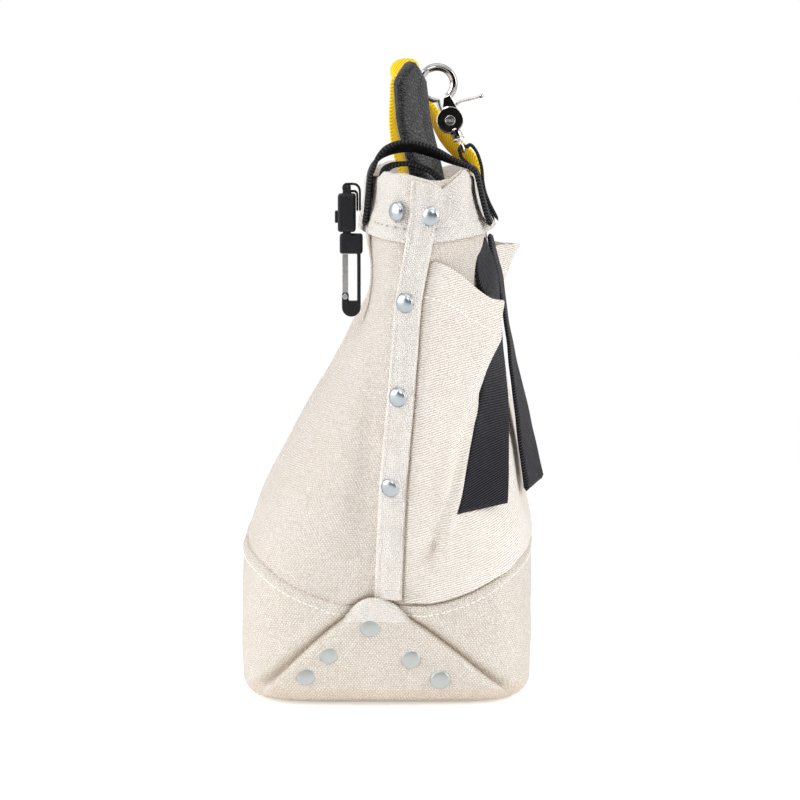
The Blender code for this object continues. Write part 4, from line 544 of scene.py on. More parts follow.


# Each canvas takes a colour for its raised yarns and a darker one for its low weave, which is painted shade
# between the yarns mixed with random yarn tone.
CREAM = canvas("cream_canvas", (0.93, 0.905, 0.875), (0.58, 0.495, 0.415))
CREAM_SIDE = canvas("cream_canvas_pocket", (0.93, 0.90, 0.865), (0.62, 0.525, 0.44), across=0.0016, up=0.00125,
                    depth=0.00045, seed=7.0, rows=0.8)
CREAM_BASE = canvas("cream_canvas_base", (0.92, 0.895, 0.86), (0.57, 0.49, 0.405), seed=13.0)
PALE = canvas("pale_canvas", (0.98, 0.965, 0.945), (0.79, 0.73, 0.67), across=0.00085, up=0.0010, contrast=0.9,
              depth=0.00080, grain=0.6, seed=3.0)
BLACK = webbing("black_webbing", (0.001, 0.001, 0.0015), (0.050, 0.048, 0.060), 0.0014, -0.40)
BLACK_RIBBED = webbing("black_ribbed_webbing", (0.001, 0.001, 0.0014), (0.045, 0.045, 0.050), 0.0017, 0.6)
YELLOW = webbing("yellow_webbing", (0.78, 0.46, 0.003), (1.0, 0.78, 0.02), 0.0018, 0.5, depth=0.0002)
LEATHER = leather("black_leather", (0.001, 0.001, 0.0015), (0.016, 0.017, 0.020))
ZINC = metal("zinc_rivet", (0.40, 0.44, 0.47), 0.27, brushed=0.02)
DULL_ZINC = metal("dull_zinc_rivet", (0.44, 0.46, 0.45), 0.36, brushed=0.20)
CHROME = metal("bright_chrome", (0.42, 0.40, 0.38), 0.08)
STEEL = metal("bright_steel", (0.62, 0.61, 0.60), 0.16)
PLASTIC = plastic("black_plastic", (0.007, 0.007, 0.009), (0.022, 0.022, 0.025))
THREAD = thread("white_thread", (0.99, 0.98, 0.96), (0.88, 0.85, 0.80))
TAN_THREAD = thread("tan_thread", (0.42, 0.33, 0.24), (0.25, 0.19, 0.13))

# -------- cloth shapes


# The end flap's outline, as shares of its height and half width
FLAP_RISES = (0, 0.1, 0.2, 0.4, 0.55, 0.7, 0.8, 0.92, 0.98, 1)
FLAP_WIDTHS = (0.86, 0.8, 0.71, 0.56, 0.44, 0.31, 0.205, 0.17, 0.1, 0.04)
FLAP_LOW, FLAP_TOP, FLAP_HALF = 0.0045, 0.0590, 0.0748
FLAP_LEAN, FLAP_FRONT_REACH = 0.005, 0.0018
# Ridges and hollows of the cloth: height, middle and width of each
FLAP_GROOVE, FLAP_PUFF = (-0.0022, 0.0002, 0.0026), (0.0024, 0.0078, 0.0052)
STRIP_FOOT_HOLLOW, STRIP_FOOT_LEVEL = (-0.0030, 0.0125, 0.0050), (1, 0.0610, 0.0080)
STRIP_TROUGH = (-0.0020, -0.0150, 0.0062)
RIM_DENT, RIM_BULGE = (-0.0030, 0.0300, 0.0042), (0.0016, 0.0385, 0.0050)
PRESSED_PLACE, PRESSED_LEVEL = (-0.0034, 0.1130, 0.0150), (1, 0.1370, 0.0200)
FLAP_FOLD = (0.0016, 0.0050, 0.0040)
RIM_ROLL = (0.00027, 0.0020, 0.0019)
STRIP_EDGE, STRIP_SEAM, STRIP_TUBE = (0.0005, -0.84, 0.12), (-0.0002, -0.62, 0.10), (0.0021, 0.10, 0.55)
# The near rim's height above its level, by y
RIM_PLACES = (-0.0120, -0.0075, -0.0030, 0.003, 0.008, 0.015, 0.0218, 0.0292, 0.0335, 0.0375, 0.042)
RIM_RISES = (0.0030, 0.0040, 0.0034, 0.0018, 0.0024, 0.0006, -0.0012, -0.0058, -0.0020, 0.0036, 0.0016)
RIM_NOTCHED = (0.0290, 0.0340)


def flap_half(rise):
    fine = np.linspace(0, 1, 201)
    widths = np.interp(fine, FLAP_RISES, FLAP_WIDTHS)
    kernel = np.exp(-np.linspace(-2, 2, 17) ** 2)
    softened = np.convolve(np.pad(widths, 8, mode="edge"), kernel / kernel.sum(), mode="valid")
    round_top = np.sqrt(np.clip((1.0 - fine) / 0.16, 0, 1))
    widths = np.where(fine > 0.84, np.minimum(softened, 0.185 * np.maximum(round_top, 0.12)), softened)
    return FLAP_HALF * np.interp(rise, fine, widths)


def flap_rise(z):
    return (z - FLAP_LOW) / (FLAP_TOP - FLAP_LOW)


def flap_edges(z):
    """Y of the flap's two edges at a height, front first."""
    half, lean = flap_half(flap_rise(z)), FLAP_LEAN * flap_rise(z)
    return -half - lean - FLAP_FRONT_REACH, half - lean


def flap_distance(points):
    """How far outside the flap's edges a place on the skin lies, at either end."""
    y, z = points[..., 1], points[..., 2]
    front, back = flap_edges(np.clip(z, FLAP_LOW, FLAP_TOP))
    beyond = np.maximum(front - y, y - back)
    above = np.maximum(z - FLAP_TOP, 0)
    return np.where(above > 0, np.hypot(above, np.maximum(beyond, 0)), beyond)


def relief(points):
    """Soft unevenness that all the cloth layers share, in metres outward."""
    x, y, z = points[..., 0], points[..., 1], points[..., 2]
    soft = 0.0007 * ripple(points, 5, 0.05, 0.13) + 0.00025 * ripple(points, 6, 0.018, 0.04)
    gap = flap_distance(points)
    by_flap = (swell(gap, FLAP_GROOVE) + swell(gap, FLAP_PUFF)) * between(z, (0.002, 0.010), (0.052, 0.014))
    hollow = swell(y, STRIP_FOOT_HOLLOW) * swell(z, STRIP_FOOT_LEVEL)
    trough = swell(y - skin.seam_y(z), STRIP_TROUGH) * between(z, (0.070, 0.03), (0.17, 0.05))
    at_ends = (by_flap + hollow + trough) * ease(np.abs(x), 0.075, 0.012)
    dent = (swell(y, RIM_DENT) + swell(y, RIM_BULGE)) * ease(x, 0.11, 0.01) * ease(z, HEIGHT - 0.026, 0.022)
    pressed = swell(x, PRESSED_PLACE) * swell(z, PRESSED_LEVEL) * smooth(y / 0.03)
    return soft + at_ends + dent + pressed


def rim_rise(points, notch=1.0):
    """How far the worn rim stands above or below its level, fading out down the cuff."""
    x, y, z = points[..., 0], points[..., 1], points[..., 2]
    rises = [rise * notch if RIM_NOTCHED[0] < place < RIM_NOTCHED[1] else rise
             for place, rise in zip(RIM_PLACES, RIM_RISES)]
    near = np.interp(y, RIM_PLACES, rises)
    far = 0.0018 * ripple(points, 61, 0.015, 0.05)
    along = -0.0009 * (1 + ripple(points, 62, 0.02, 0.08))
    rise = mix(along, np.where(x > 0, near, far), ease(np.abs(x), 0.113, 0.010))
    return rise * ease(z, HEIGHT - 0.024, 0.022)


def layer(turns, heights, middle, full, raised=0.0):
    """The outer and inner grid of cloth about its middle, with its share of full thickness at each place."""
    half = full * CLOTH / 2
    return [skin.place(turns, heights, middle + half + raised), skin.place(turns, heights, middle - half)]


def hemmed(inward, height, width, fade, row, row_width, edge_fade=FOLD_STEP):
    """The thicker hem along an edge, and the dip of the row of stitches that holds it."""
    hem = height * (1 - ease(inward, width, fade)) * smooth(inward / edge_fade)
    return hem + swell(inward, (STITCH_DIP, row, row_width))


def lift(grids, rise):
    for grid in grids:
        grid[..., 2] += rise


def sided(side, outer, inner, uv):
    """The near end's grids, or the same mirrored to the far end."""
    if side > 0:
        return outer, inner, uv
    mirror = np.array([-1, 1, 1])
    return (outer * mirror)[:, ::-1], (inner * mirror)[:, ::-1], uv[:, ::-1]


RING = np.linspace(0, 1, 520, endpoint=False)


def ring_uv(heights):
    """Places on the weave of whole rings, whose first place comes again at the end."""
    heights = np.concatenate([heights, heights[:, :1]], axis=1)
    return skin.cloth_uv(np.append(RING, 1.0)[None, :], heights, np.append(RING < 0.5, False)[None, :])


# The floor of the tube: how each ring shrinks inward and drops
FLOOR_RINGS = ((1.0, 0.0), (0.985, 0.003), (0.95, 0.0062), (0.9, 0.0074), (0.6, 0.0075), (0.3, 0.0075),
               (0.02, 0.0075))
TUBE_LOW, FLOOR_EDGE, LAYER_GAP = 0.004, 0.011, 0.0001


def bag_body():
    """The canvas tube, from inside the wrap to the rim, and its floor."""
    shares, full = band(150, end_rounding=0.004)
    heights = np.broadcast_to(mix(TUBE_LOW, HEIGHT, shares)[:, None], (len(shares), len(RING)))
    base = skin.place(RING, heights)
    grids = layer(RING, heights, BODY_MIDDLE + relief(base), full[:, None])
    lift(grids, rim_rise(base, notch=0.25))
    body = sheet_object("bag_cloth", *grids, ring_uv(heights), CREAM, closed=True)
    edge = skin.place(RING, FLOOR_EDGE, -CLOTH - LAYER_GAP)
    points = np.array([edge * np.array([scale, scale, 1.0]) - np.array([0, 0, drop])
                       for scale, drop in FLOOR_RINGS])
    uv = np.concatenate([points, points[:, :1]], axis=1)[..., :2]
    return body, rings_object("bag_floor_cloth", points, uv, CREAM)


# Rows of the wrap under the bag: how each ring shrinks, and the place on the weave that it takes
UNDER_SCALES, UNDER_PLACES = (0.02, 0.4, 0.75, 0.93, 0.985), (-0.075, -0.045, -0.02, -0.006, -0.002)
WRAP_LOW_ROWS = np.array([0, 0.0004, 0.0012, 0.0024, 0.0040, 0.0062, 0.0085])
WRAP_WALL, WRAP_HEM, WRAP_ROW = 0.011, 0.00038, 0.0052


def bottom_wrap():
    """The second layer round the base, with its folded top edge."""
    top = wrap_top(RING)
    shares, full = band(60, end_rounding=0.013)
    low = np.broadcast_to(WRAP_LOW_ROWS[:, None], (len(WRAP_LOW_ROWS), len(RING)))
    heights = np.concatenate([low, mix(WRAP_WALL, top, shares[:, None])])
    below = top - heights
    full = np.concatenate([np.ones(len(low)), full])[:, None]
    hem = hemmed(below, WRAP_HEM, 0.0040, 0.0013, WRAP_ROW, 0.0007)
    seated = -0.0013 * (1 - smooth(below / 0.0035))
    middle = WRAP_MIDDLE + relief(skin.place(RING, heights)) * smooth(heights / 0.012) + seated
    outer, inner = layer(RING, heights, middle, full, hem)
    inner_wall = inner.copy()
    inner_wall[:len(low), :, 2] = np.maximum(inner_wall[:len(low), :, 2], CLOTH)
    under = [np.array([scale, scale, 0]) for scale in UNDER_SCALES]
    outer = np.concatenate([np.array([outer[0] * scale for scale in under]), outer])
    raised = np.array([0, 0, CLOTH])
    inner = np.concatenate([np.array([inner[0] * scale + raised for scale in under]), inner_wall])
    places = np.broadcast_to(np.array(UNDER_PLACES)[:, None], (len(under), len(RING)))
    uv = ring_uv(np.concatenate([places, heights]))
    return sheet_object("bottom_wrap_cloth", outer, inner, uv, CREAM_BASE, closed=True)


def end_flap(side):
    """The folded end of the base, a layer that rises to a rounded point under the seam strip."""
    shares, _ = edged(64, 0.016)
    rows, row_full = edged(70, 0.014)
    heights = mix(FLAP_LOW - 0.0012, FLAP_TOP, rows)
    turns = np.zeros((len(heights), len(shares)))
    full = np.zeros_like(turns)
    for k, z in enumerate(heights):
        front, back = flap_edges(max(z, FLAP_LOW))
        ys = mix(front, back, shares)
        turns[k] = skin.turn_at(z, ys, FLAP_MIDDLE)
        full[k] = rounded(np.minimum(ys - front, back - ys) / 0.0011) * row_full[k]
    z = np.broadcast_to(heights[:, None], turns.shape)
    ys = skin.place(turns, z, FLAP_MIDDLE)[..., 1]
    front, back = flap_edges(np.clip(z, FLAP_LOW, FLAP_TOP))
    inward = np.minimum(ys - front, back - ys)
    rise = flap_rise(z)
    fold = swell(inward, FLAP_FOLD) * smooth(rise / 0.12) * (1 - ease(rise, 0.72, 0.15))
    sag = -0.0013 * smooth((0.0040 - inward) / 0.0040)
    foot = -0.0016 * (1 - smooth(rise / 0.12))
    apex = 0.00045 * ease(rise, 0.74, 0.03)
    middle = FLAP_MIDDLE + relief(skin.place(turns, z)) + fold + sag + foot
    grids = layer(turns, z, middle, full, full * apex)
    uv = np.stack([ys, z * SLOPE_STRETCH], axis=-1)
    made = sheet_object(SIDE_WORDS[side] + "_end_flap_cloth", *sided(side, *grids, uv), CREAM_BASE)
    made.data.materials.append(PALE)
    centres = np.array([polygon.center.z for polygon in made.data.polygons])
    made.data.polygons.foreach_set("material_index", (centres > mix(FLAP_LOW, FLAP_TOP, 0.765)).astype(int))
    return made


CUFF_ROW = 0.0070


def rim_cuff():
    """The folded band round the mouth, rolled at the rim and flared at its lower edge."""
    shares, full = band(44, start_rounding=0.032, end_rounding=0.04)
    edge = cuff_edge(RING)
    heights = mix(edge, HEIGHT, shares[:, None])
    above = heights - edge
    flare = cuff_flare(RING) * np.interp(shares, (0, 0.25, 0.5, 1), (1, 0.45, 0.12, 0))[:, None]
    hem = hemmed(above, HEM, 0.0060, 0.0014, CUFF_ROW, 0.0007, edge_fade=0.0006)
    base = skin.place(RING, heights)
    crumple = 0.00084 * ripple(base, 21, 0.014, 0.05) * smooth(above / 0.012)
    middle = CUFF_MIDDLE + flare + relief(base) + crumple
    grids = layer(RING, heights, middle, full[:, None], hem + swell(HEIGHT - heights, RIM_ROLL))
    lift(grids, rim_rise(base))
    return sheet_object("rim_cuff_cloth", *grids, ring_uv(heights), PALE, closed=True)


def strip_middle(z):
    return mix(STRIP_MIDDLE, STRIP_ON_CUFF, ease(z, CUFF_LOW - 0.007, 0.006))


def strip_turn(z, share):
    """The turn at a height where the strip is a share of its half width off its middle."""
    return skin.turn_at(z, skin.seam_y(z) + share * STRIP_HALF, float(strip_middle(z)))


def seam_strip(side):
    """The folded strip over an end seam: a soft tube with a stitched edge along its front."""
    across, across_full = edged(30, 0.05)
    rows, row_full = edged(150, 0.0038)
    heights = mix(STRIP_FOOT, HEIGHT - 0.0019, rows)
    s = 2 * across - 1
    turns = np.array([strip_turn(z, s) for z in heights])
    z = np.broadcast_to(heights[:, None], turns.shape)
    full = across_full[None, :] * row_full[:, None]
    base = skin.place(turns, z)
    ridges = swell(s, STRIP_EDGE) + swell(s, STRIP_SEAM) + swell(s, STRIP_TUBE)
    uneven = 0.00040 * ripple(base, 33, 0.010, 0.04) + 0.00016 * ripple(base, 34, 0.003, 0.008)
    seated = -0.0011 * ease(np.abs(s), 0.66, 0.34)
    middle = strip_middle(z) + relief(base) + seated * (1 - ease(z, CUFF_LOW, 0.006) * 0.6)
    grids = layer(turns, z, middle, full, full * (ridges + uneven))
    if side > 0:
        lift(grids, rim_rise(base))
    uv = np.stack([np.broadcast_to(s * STRIP_HALF, z.shape), z], axis=-1)
    return sheet_object(SIDE_WORDS[side] + "_seam_strip_cloth", *sided(side, *grids, uv), PALE)


# The pocket's mouth and its two folds
POCKET_TOPS = {"seam": 0.2304, "middle": 0.2184, 1: 0.2092, -1: 0.2254}
POCKET_OPENS = 0.1074
MIDDLE_GAPE, FAR_FOLD_GAPE = 0.0130, 0.026
NEAR_FOLD_HEIGHTS = (POCKET_OPENS, 0.136, 0.146, 0.159, 0.174, 0.190, 0.2092)
NEAR_FOLD_GAPES = (0, 0, 0.0006, 0.0046, 0.0098, 0.0165, 0.0168)
# The standing fold beside the near strap: y by height, and its ridges across that line
FOLD_LINE_HEIGHTS, FOLD_LINE = (0.075, 0.0965, 0.1216, 0.142, 0.202), (0.0270, 0.0308, 0.0375, 0.0425, 0.061)
FOLD_RIDGES = ((0.0016, 0, 0.0022), (-0.0011, -0.0040, 0.0022), (0.0009, -0.0090, 0.0040))
FOOT_TROUGH, FOOT_RIDGE = (-0.0020, 0.0235, 0.0038), (0.0020, 0.0790, 0.0048)
FOOT_HOLLOW, FOOT_HOLLOW_LEVEL = (-0.0022, 0.0205, 0.0050), (1, 0.0830, 0.0065)


def gape_share(z):
    return np.maximum((z - POCKET_OPENS) / (POCKET_TOPS[1] - POCKET_OPENS), 0)


def fold_x(z):
    return half_width(z) * mix(0.965, 0.80, np.minimum(gape_share(z), 1))


def pocket_gape(z, x):
    """How far the pocket's cloth stands off the bag, along Y."""
    open_share = gape_share(z)
    crease = fold_x(z)
    fold = np.where(x > 0, np.interp(z, NEAR_FOLD_HEIGHTS, NEAR_FOLD_GAPES), FAR_FOLD_GAPE * open_share ** 1.3)
    middle = mix(MIDDLE_GAPE, 0.0008, smooth(x / crease + 1)) * np.minimum(open_share, 1)
    across = np.abs(x)
    inside = mix(fold, middle, smooth((crease - across) / 0.014))
    edge = half_width(z) - 0.0012
    outside = fold * np.clip((edge - across) / np.maximum(edge - crease, 1e-4), 0, 1)
    return np.where(across < crease, inside, outside)


def pocket_side(side):
    """Grids of turns, heights and shares of one half of the pocket, from its strip to the middle."""
    side_shares = np.linspace(0, 1, 22)
    back_shares = np.linspace(0, 1, 74)[1:] ** 1.3
    rows, row_full = edged(84, 0.006)
    columns = np.concatenate([side_shares, 1 + back_shares])

    def turn_of(z):
        """Turn of every column at its own height."""
        table_z = np.linspace(0.05, 0.235, 75)
        beyond_strip = STRIP_HALF + 0.0005
        edges = np.array([skin.turn_at(h, skin.seam_y(h) + beyond_strip, POCKET_MIDDLE) for h in table_z])
        folds = []
        for h in table_z:
            turns = np.linspace(0, 0.25, 241)
            xs = skin.place(turns, h, 0.0012)[:, 0]
            folds.append(np.interp(float(fold_x(h)), xs[::-1], turns[::-1]))
        edge, fold = np.interp(z, table_z, edges), np.interp(z, table_z, folds)
        first = mix(edge, fold, np.minimum(columns, 1))
        return np.where(columns <= 1, first, mix(fold, 0.25, np.maximum(columns - 1, 0)))

    foot = np.full(len(columns), WRAP_HIGH_TOP)
    for _ in range(6):
        foot = wrap_top(turn_of(foot)) + 0.0012
    fold_top = POCKET_TOPS[side]
    top = np.where(columns <= 1, mix(POCKET_TOPS["seam"], fold_top, smooth(columns)),
                   mix(fold_top, POCKET_TOPS["middle"], smooth(np.maximum(columns - 1, 0) * 1.5)))
    heights = mix(foot, top, rows[:, None])
    turns = np.array([turn_of(z) for z in heights])
    return turns, heights, columns, row_full, top


def pocket_creases(points):
    """The standing fold beside the near strap and the folds at the pocket's foot, in metres outward."""
    x, y, z = points[..., 0], points[..., 1], points[..., 2]
    off_line = y - np.interp(z, FOLD_LINE_HEIGHTS, FOLD_LINE)
    beside = sum(swell(off_line, ridge) for ridge in FOLD_RIDGES) * between(z, (0.072, 0.012), (0.180, 0.02))
    trough = swell(y, FOOT_TROUGH) * between(z, (0.070, 0.01), (0.105, 0.025))
    hollow = swell(y, FOOT_HOLLOW) * swell(z, FOOT_HOLLOW_LEVEL)
    ridge = swell(z + (y - 0.0245) * 0.237, FOOT_RIDGE) * ease(y, 0.018, 0.008)
    return ease(x, 0.06, 0.04) * (beside + trough + hollow + ridge)


def pocket_half(side):
    """The outer grid, inner grid and places on the weave of one half of the pocket."""
    turns, heights, columns, row_full, top = pocket_side(side)
    base = skin.place(turns, heights)
    below = top[None, :] - heights
    hem = hemmed(below, HEM, 0.0042, 0.0012, 0.0051, 0.0006)
    full = row_full[:, None] * rounded(columns / 0.05)[None, :]
    shown = base.copy()
    shown[..., 1] += pocket_gape(heights, base[..., 0])
    creases = pocket_creases(shown) if side > 0 else 0
    seated = -0.0015 * (1 - smooth(columns / 0.14))[None, :]
    middle = POCKET_MIDDLE + relief(base) + seated + creases
    grids = layer(turns, heights, middle, full, full * hem)
    gape = pocket_gape(heights, grids[0][..., 0] * side)
    kernel = np.array([1, 3, 5, 7, 5, 3, 1]) / 25
    padded = np.pad(gape, ((0, 0), (3, 3)), mode="edge")
    soft = sum(weight * padded[:, k:k + gape.shape[1]] for k, weight in enumerate(kernel))
    gape = np.where(columns[None, :] < 0.05, gape, soft)
    for grid in grids:
        grid[..., 0] *= side
        grid[..., 1] += gape
    uv = np.stack([(turns - 0.25) * 4 * skin.length_at(heights) * side, heights * SLOPE_STRETCH], axis=-1)
    return *grids, uv


def back_pocket():
    """The full-width pocket with its hemmed mouth, gaping at the folds near both ends."""
    right, left = pocket_half(1), pocket_half(-1)
    outer, inner, uv = (np.concatenate([near, far[:, ::-1][:, 1:]], axis=1) for near, far in zip(right, left))
    return sheet_object("back_pocket_cloth", outer, inner, uv, CREAM_SIDE), outer


# -------- stitches


# Places along a stitch, and its girth at each
STITCH_FORM = ((-0.5, 0.25), (-0.42, 0.75), (-0.2, 1.0), (0.2, 1.0), (0.42, 0.75), (0.5, 0.25))
STITCH_SIDES, STITCH_LIFT, STITCH_BEND = 6, 0.00012, 1.44


def stitch_row(name, path, normals, material, pitch=0.0032, length=0.0025, radius=0.00036):
    """A row of short raised stitches along a path on a surface."""
    travelled = travelled_along(path)
    rng = np.random.default_rng(len(path))
    vertices, faces = [], []

    def read(values, at):
        return np.array([np.interp(at, travelled, values[:, k]) for k in range(3)])

    for at in np.arange(pitch / 2, travelled[-1] - pitch / 2, pitch):
        at = at + (rng.random() - 0.5) * pitch * 0.12
        middle = read(path, at)
        along = unit(read(path, at + length / 2) - middle)
        out = unit(read(normals, at))
        out = unit(out - along * (out @ along))
        side = np.cross(along, out)
        start = len(vertices)
        for share, size in STITCH_FORM:
            centre = middle + along * (length * share) + out * (STITCH_LIFT - radius * STITCH_BEND * abs(share))
            for k in range(STITCH_SIDES):
                angle = 2 * math.pi * k / STITCH_SIDES
                vertices.append(centre + (out * math.cos(angle) + side * math.sin(angle)) * radius * size)
        faces += tube_faces(start, len(STITCH_FORM), STITCH_SIDES)
    return mesh_object(name, vertices, faces, None, material)


def normals_on(turns, heights, offset):
    """Outward directions of the skin at places."""
    step, rise = 1e-3, 8e-4
    along = skin.place(turns + step, heights, offset) - skin.place(turns - step, heights, offset)
    up = skin.place(turns, heights + rise, offset) - skin.place(turns, np.maximum(heights - rise, 0), offset)
    return unit(np.cross(along, up))


def skin_stitches(name, turns, heights, offset, material=THREAD, **settings):
    """Stitches at turns, heights and an offset from the skin."""
    path = skin.place(turns, heights, offset + relief(skin.place(turns, heights)))
    return stitch_row(name, path, normals_on(turns, heights, offset), material, **settings)


# -------- straps


def ribbon(name, route, width, thickness, material, width_shares=None, steps=6, crown=0.0, roughness=0.0002,
           layer_shares=None, foot_slant=0.0):
    """A strap along a route of places and directions across it, in millimetres and plain numbers."""
    rows = np.array(route, float)
    stations = np.arange(len(rows))
    fine = np.linspace(0, len(rows) - 1, (len(rows) - 1) * steps + 1)
    centres = curve_at(stations, rows[:, :3], fine) / 1000
    across = unit(curve_at(stations, rows[:, 3:6], fine))
    widths = np.interp(fine, stations, width_shares) if width_shares else np.ones(len(fine))
    layers = np.interp(fine, stations, layer_shares) if layer_shares else np.ones(len(fine))
    along = unit(np.gradient(centres, axis=0))
    across = unit(across - along * np.sum(across * along, axis=1, keepdims=True))
    facing = np.cross(along, across)[:, None, :]
    travelled = travelled_along(centres)
    shares, full = edged(14, 0.055)
    s = 2 * shares - 1
    end_full = rounded(np.minimum(travelled, travelled[-1] - travelled) / (thickness * 0.5))
    reach = (widths * width / 2)[:, None] * s[None, :]
    slanted = foot_slant * ease(travelled / travelled[-1], 0.55, 0.45)
    middle = centres[:, None, :] + across[:, None, :] * reach[..., None]
    middle = middle + along[:, None, :] * (reach * slanted[:, None])[..., None]
    middle = middle + facing * (roughness * ripple(middle, 51, 0.012, 0.04))[..., None]
    half = (thickness / 2) * layers[:, None] * full[None, :] + crown * (1 - s[None, :] ** 2)
    half = (half * end_full[:, None])[..., None]
    uv = np.stack([reach, np.broadcast_to(travelled[:, None], reach.shape)], axis=-1)
    return sheet_object(name, middle + facing * half, middle - facing * half, uv, material)


def at_x(x, rows):
    """A route at one x: y, z and the direction across the strap, which is along x where none is given."""
    return tuple((x, *row[:2], *(row[2:] or (1, 0, 0))) for row in rows)


CLOSURE_ROUTE = at_x(99.96, (
    (-11, 246.4, 0.999, 0.03, -0.025), (-9.9, 253.4, 0.999, 0.03, -0.022),
    (-9, 261.4, 0.999, 0.03, -0.017), (-8.5, 268.4, 0.999, 0.03, -0.015),
    (-8, 271.98, 0.999, 0.03, -0.02), (-6.4, 276.04, 1, 0.02, -0.02),
    (-3.67, 280.39, 0.998, -0.052, 0.047), (0.32, 283.58, 0.986, -0.082, 0.146),
    (5.11, 285.32, 0.98, -0.047, 0.196), (9.91, 285.9, 0.978, -0.003, 0.208),
    (15.23, 285.47, 0.979, 0.033, 0.202), (20.55, 284.16, 0.982, 0.057, 0.182),
    (25.88, 282.13, 0.987, 0.062, 0.147), (31.2, 279.66, 0.994, 0.044, 0.1),
    (36.53, 277.49, 0.998, 0.021, 0.055), (40.79, 275.89, 1, 0.006, 0.015),
    (44.4, 274.15, 1, -0.01, -0.03), (45.9, 271.4, 1, -0.03, -0.02), (46.7, 268.4, 1, -0.03, -0.01),
    (48.2, 261.4, 1, -0.03, -0.02), (50.3, 253.4, 1, -0.03, -0.03), (52.9, 246.4, 1, -0.03, -0.03)))
INNER_ROUTE = at_x(99.96, (
    (-3.98, 247.4, 0.993, 0.116, -0.012), (-2.96, 257.4, 0.992, 0.123, -0.013),
    (-2.04, 266.4, 0.992, 0.128, -0.018), (-0.72, 273.05, 0.994, 0.099, -0.047),
    (2.36, 275.8, 0.999, 0.019, -0.039), (7.21, 276.9, 1, 0.001, -0.006), (12.5, 276.79, 1, 0, 0.003),
    (18.22, 275.25, 1, -0.003, -0.008), (24.39, 271.95, 0.999, -0.028, -0.034),
    (30.11, 265.35, 0.996, -0.074, -0.053), (36.72, 254.9, 0.99, -0.125, -0.068),
    (42.01, 243.4, 0.981, -0.189, -0.046), (41.96, 233.4, 0.972, -0.236, 0.001)))
LEATHER_ROUTE = at_x(76.02, (
    (12.16, 328.4, 0.695, -0.719, 0), (12.16, 324, 0.695, -0.719, 0),
    (12.16, 317.59, 0.695, -0.718, -0.038), (12.94, 308.64, 0.696, -0.715, -0.067),
    (13.98, 298.32, 0.699, -0.706, -0.114), (16.26, 288.2, 0.705, -0.689, -0.169),
    (18.98, 277.89, 0.705, -0.688, -0.17), (21.32, 267.71, 0.716, -0.673, -0.184),
    (25.94, 252.4, 0.865, -0.463, -0.191), (35.88, 232.32, 0.971, -0.221, -0.096),
    (44.56, 209.4, 0.983, -0.176, -0.044), (45.97, 191.4, 0.979, -0.204, -0.016)))
YELLOW_ROUTE = at_x(9.94, (
    (53.39, 193.4, 1, -0.015, -0.002), (52.22, 203.4, 1, -0.01, -0.007), (39.85, 214.38),
    (27.95, 227.32), (18.01, 242.36), (12.09, 257.4, 1, -0.05, 0), (9.4, 268.5, 1, -0.12, 0),
    (7.4, 276.42, 0.98, -0.18, 0), (5.9, 284.35, 0.975, -0.22, 0), (5.2, 292.51, 0.97, -0.24, 0),
    (4.9, 300.44, 0.97, -0.24, 0), (4.6, 310.48, 0.97, -0.2, 0), (3.6, 317.6, 0.96, -0.05, -0.2),
    (4.4, 321.9, 0.93, 0, -0.33), (6.9, 323.9, 0.92, 0.02, -0.38), (10.6, 324.6, 0.92, 0.02, -0.38),
    (14, 324.4, 0.93, 0.02, -0.33), (16.4, 321.6, 0.97, 0, -0.12), (18.01, 316.3, 0.99, 0, 0),
    (20.7, 310, 1, 0.02, 0), (23.27, 303.86, 0.99, 0.1, 0.06), (27.95, 295.42, 0.96, 0.2, 0.16),
    (32.7, 288.04, 0.94, 0.26, 0.22), (37.51, 282.23, 0.94, 0.24, 0.24),
    (43.43, 277.21, 0.95, 0.18, 0.22), (47.33, 271.92, 0.98, 0.15, 0.08), (49.61, 262.4, 1, 0.03, 0),
    (53.95, 251.4)))
LEASH_ROUTE = at_x(46, (
    (56.1, 245.9), (50.65, 257.4), (48.29, 265.4), (47.68, 269.77), (45.66, 272.89), (41.75, 276.01),
    (38.89, 278.82), (38.18, 281), (37.77, 281.85), (37.73, 282.8), (38.07, 283.68), (38.74, 284.35),
    (39.62, 284.69), (40.56, 284.65), (41.41, 284.23), (43.87, 285.17), (47.03, 281.03), (49.31, 273.87),
    (50.19, 265.4), (52.55, 257.4), (58, 245.9)))
CLIP_ROUTE = at_x(99.96, (
    (-13.16, 253.4), (-13.16, 257.8), (-13.16, 262.7), (-13.49, 264.84), (-14.48, 266.28), (-16.13, 267),
    (-19.76, 267), (-20.66, 266.76), (-21.32, 266.1), (-21.56, 265.2), (-21.32, 264.3), (-20.66, 263.64),
    (-19.76, 263.4), (-17.37, 263.4), (-15.52, 263.28), (-14.62, 262.2), (-14.46, 260), (-14.46, 256.92),
    (-14.46, 253.4)))
